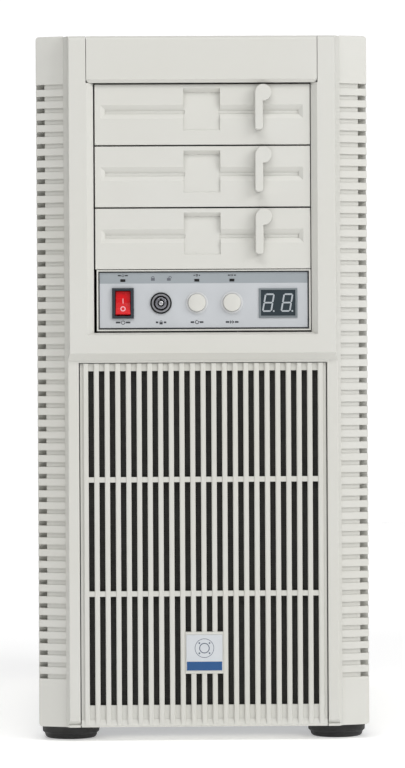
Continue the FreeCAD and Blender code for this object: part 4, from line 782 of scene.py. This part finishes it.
def softbox(name, place, aim, size, power):
    light = bpy.data.lights.new(name, "AREA")
    light.shape = "RECTANGLE"
    light.size, light.size_y = size
    light.energy = power
    made = bpy.data.objects.new(name, light)
    bpy.context.scene.collection.objects.link(made)
    made.location = place
    made.rotation_euler = (Vector(aim) - Vector(place)).to_track_quat("-Z", "Y").to_euler()


def lights():
    softbox("key", (2.6, -2.2, 1.9), (0, 0, 0.25), (1.8, 1.8), KEY_POWER)
    softbox("fill", (-0.2, -1.6, 2.0), (0, 0, 0.25), (1.8, 0.8), FILL_POWER)
    softbox("top", (0.3, -0.3, 3.0), (0, 0, 0.25), (1.6, 1.6), TOP_POWER)
    softbox("back", (-0.6, 3.0, 2.2), (0, 0, 0.25), (2.4, 1.6), BACK_POWER)


CAMERA_PLACE = (-0.0431, -2.623, 0.2621)
CAMERA_YAW, CAMERA_PITCH, CAMERA_ROLL = -1.028, -0.370, -0.300
CAMERA_LENS_MM = 161.86


def camera():
    data = bpy.data.cameras.new("camera")
    data.sensor_width = 36.0
    data.sensor_fit = "AUTO"
    data.lens = CAMERA_LENS_MM
    made = bpy.data.objects.new("camera", data)
    bpy.context.scene.collection.objects.link(made)
    turn = Matrix.Rotation(math.radians(CAMERA_YAW), 4, "Z")
    turn = turn @ Matrix.Rotation(math.radians(90 + CAMERA_PITCH), 4, "X")
    turn = turn @ Matrix.Rotation(math.radians(CAMERA_ROLL), 4, "Z")
    made.matrix_world = Matrix.Translation(CAMERA_PLACE) @ turn
    bpy.context.scene.camera = made


# ---------------------------------------------------------------- materials on the CAD nodes
def dress():
    by_slot = {
        "case_plastic": moulded("case_plastic", IVORY, IVORY_AGED),
        "control_face": control_face(),
        "dark_plastic": moulded("black_plastic", BLACK_PLASTIC, rough=0.42),
        "red_plastic": red_rocker(),
        "lock_steel": lock_barrel("lock_housing", LOCK_RING, LOCK_EDGE_SHADE, 6.2 * MM, 0.3, 1.4 * MM),
        "lock_chrome": lock_barrel("lock_cylinder", LOCK_PIN, LOCK_BOSS, 2.0 * MM, 0.2, 2.4 * MM),
        "button_plastic": moulded("button_plastic", BUTTON_IVORY, rough=0.38, grain=0.01),
        "display_dark": glassy("display_glass", DISPLAY_GLASS),
        "badge_white": glassy("badge_white", BADGE_WHITE, 0.2),
        "socket_metal": turned_metal("socket_metal", (0.78, 0.78, 0.77), 0.25),
        "filter_mesh": filter_mesh(),
        "fan_black": moulded("fan_black", (0.10, 0.10, 0.10), rough=0.5),
        "fan_blades": moulded("fan_blades", (0.15, 0.15, 0.15), rough=0.4),
        "chassis_steel": zinc_steel(),
        "painted_steel": painted_steel(),
        "screw_steel": turned_metal("screw_steel", (0.72, 0.72, 0.73), 0.3),
        "foot_rubber": rubber(),
        "circuit_board": circuit_board(),
        "connector_black": moulded("connector_black", (0.09, 0.09, 0.095), rough=0.5),
        "shield_steel": zinc_steel("shield_steel", (0.78, 0.78, 0.78)),
        "cooler_aluminium": brushed_fins(),
        "psu_painted": moulded("psu_painted", (0.12, 0.12, 0.125), rough=0.55, grain=0.04),
        "drive_aluminium": turned_metal("drive_aluminium", (0.74, 0.74, 0.76), 0.35),
    }
    by_node = {
        "power_switch_housing": moulded("switch_slate", SLATE, rough=0.4),
        "display_bezel": moulded("display_frame", DISPLAY_FRAME, rough=0.45),
        "control_frame": moulded("control_frame", IVORY, IVORY_AGED, zones=control_frame_zones),
    }
    for part in frame["record"]["subparts"]:
        made = by_node.get(part["node"], by_slot[part["material_slot"]])
        mesh = frame["nodes"][part["node"]].data
        mesh.materials.clear()
        mesh.materials.append(made)


camera()
white_stage()
lights()
dress()
control_marks()
rocker_marks()
display_digits()
badge_print()
bay_gap_shades()
rear_screws()
rear_sockets()

bpy.context.scene.view_settings.view_transform = "Standard"
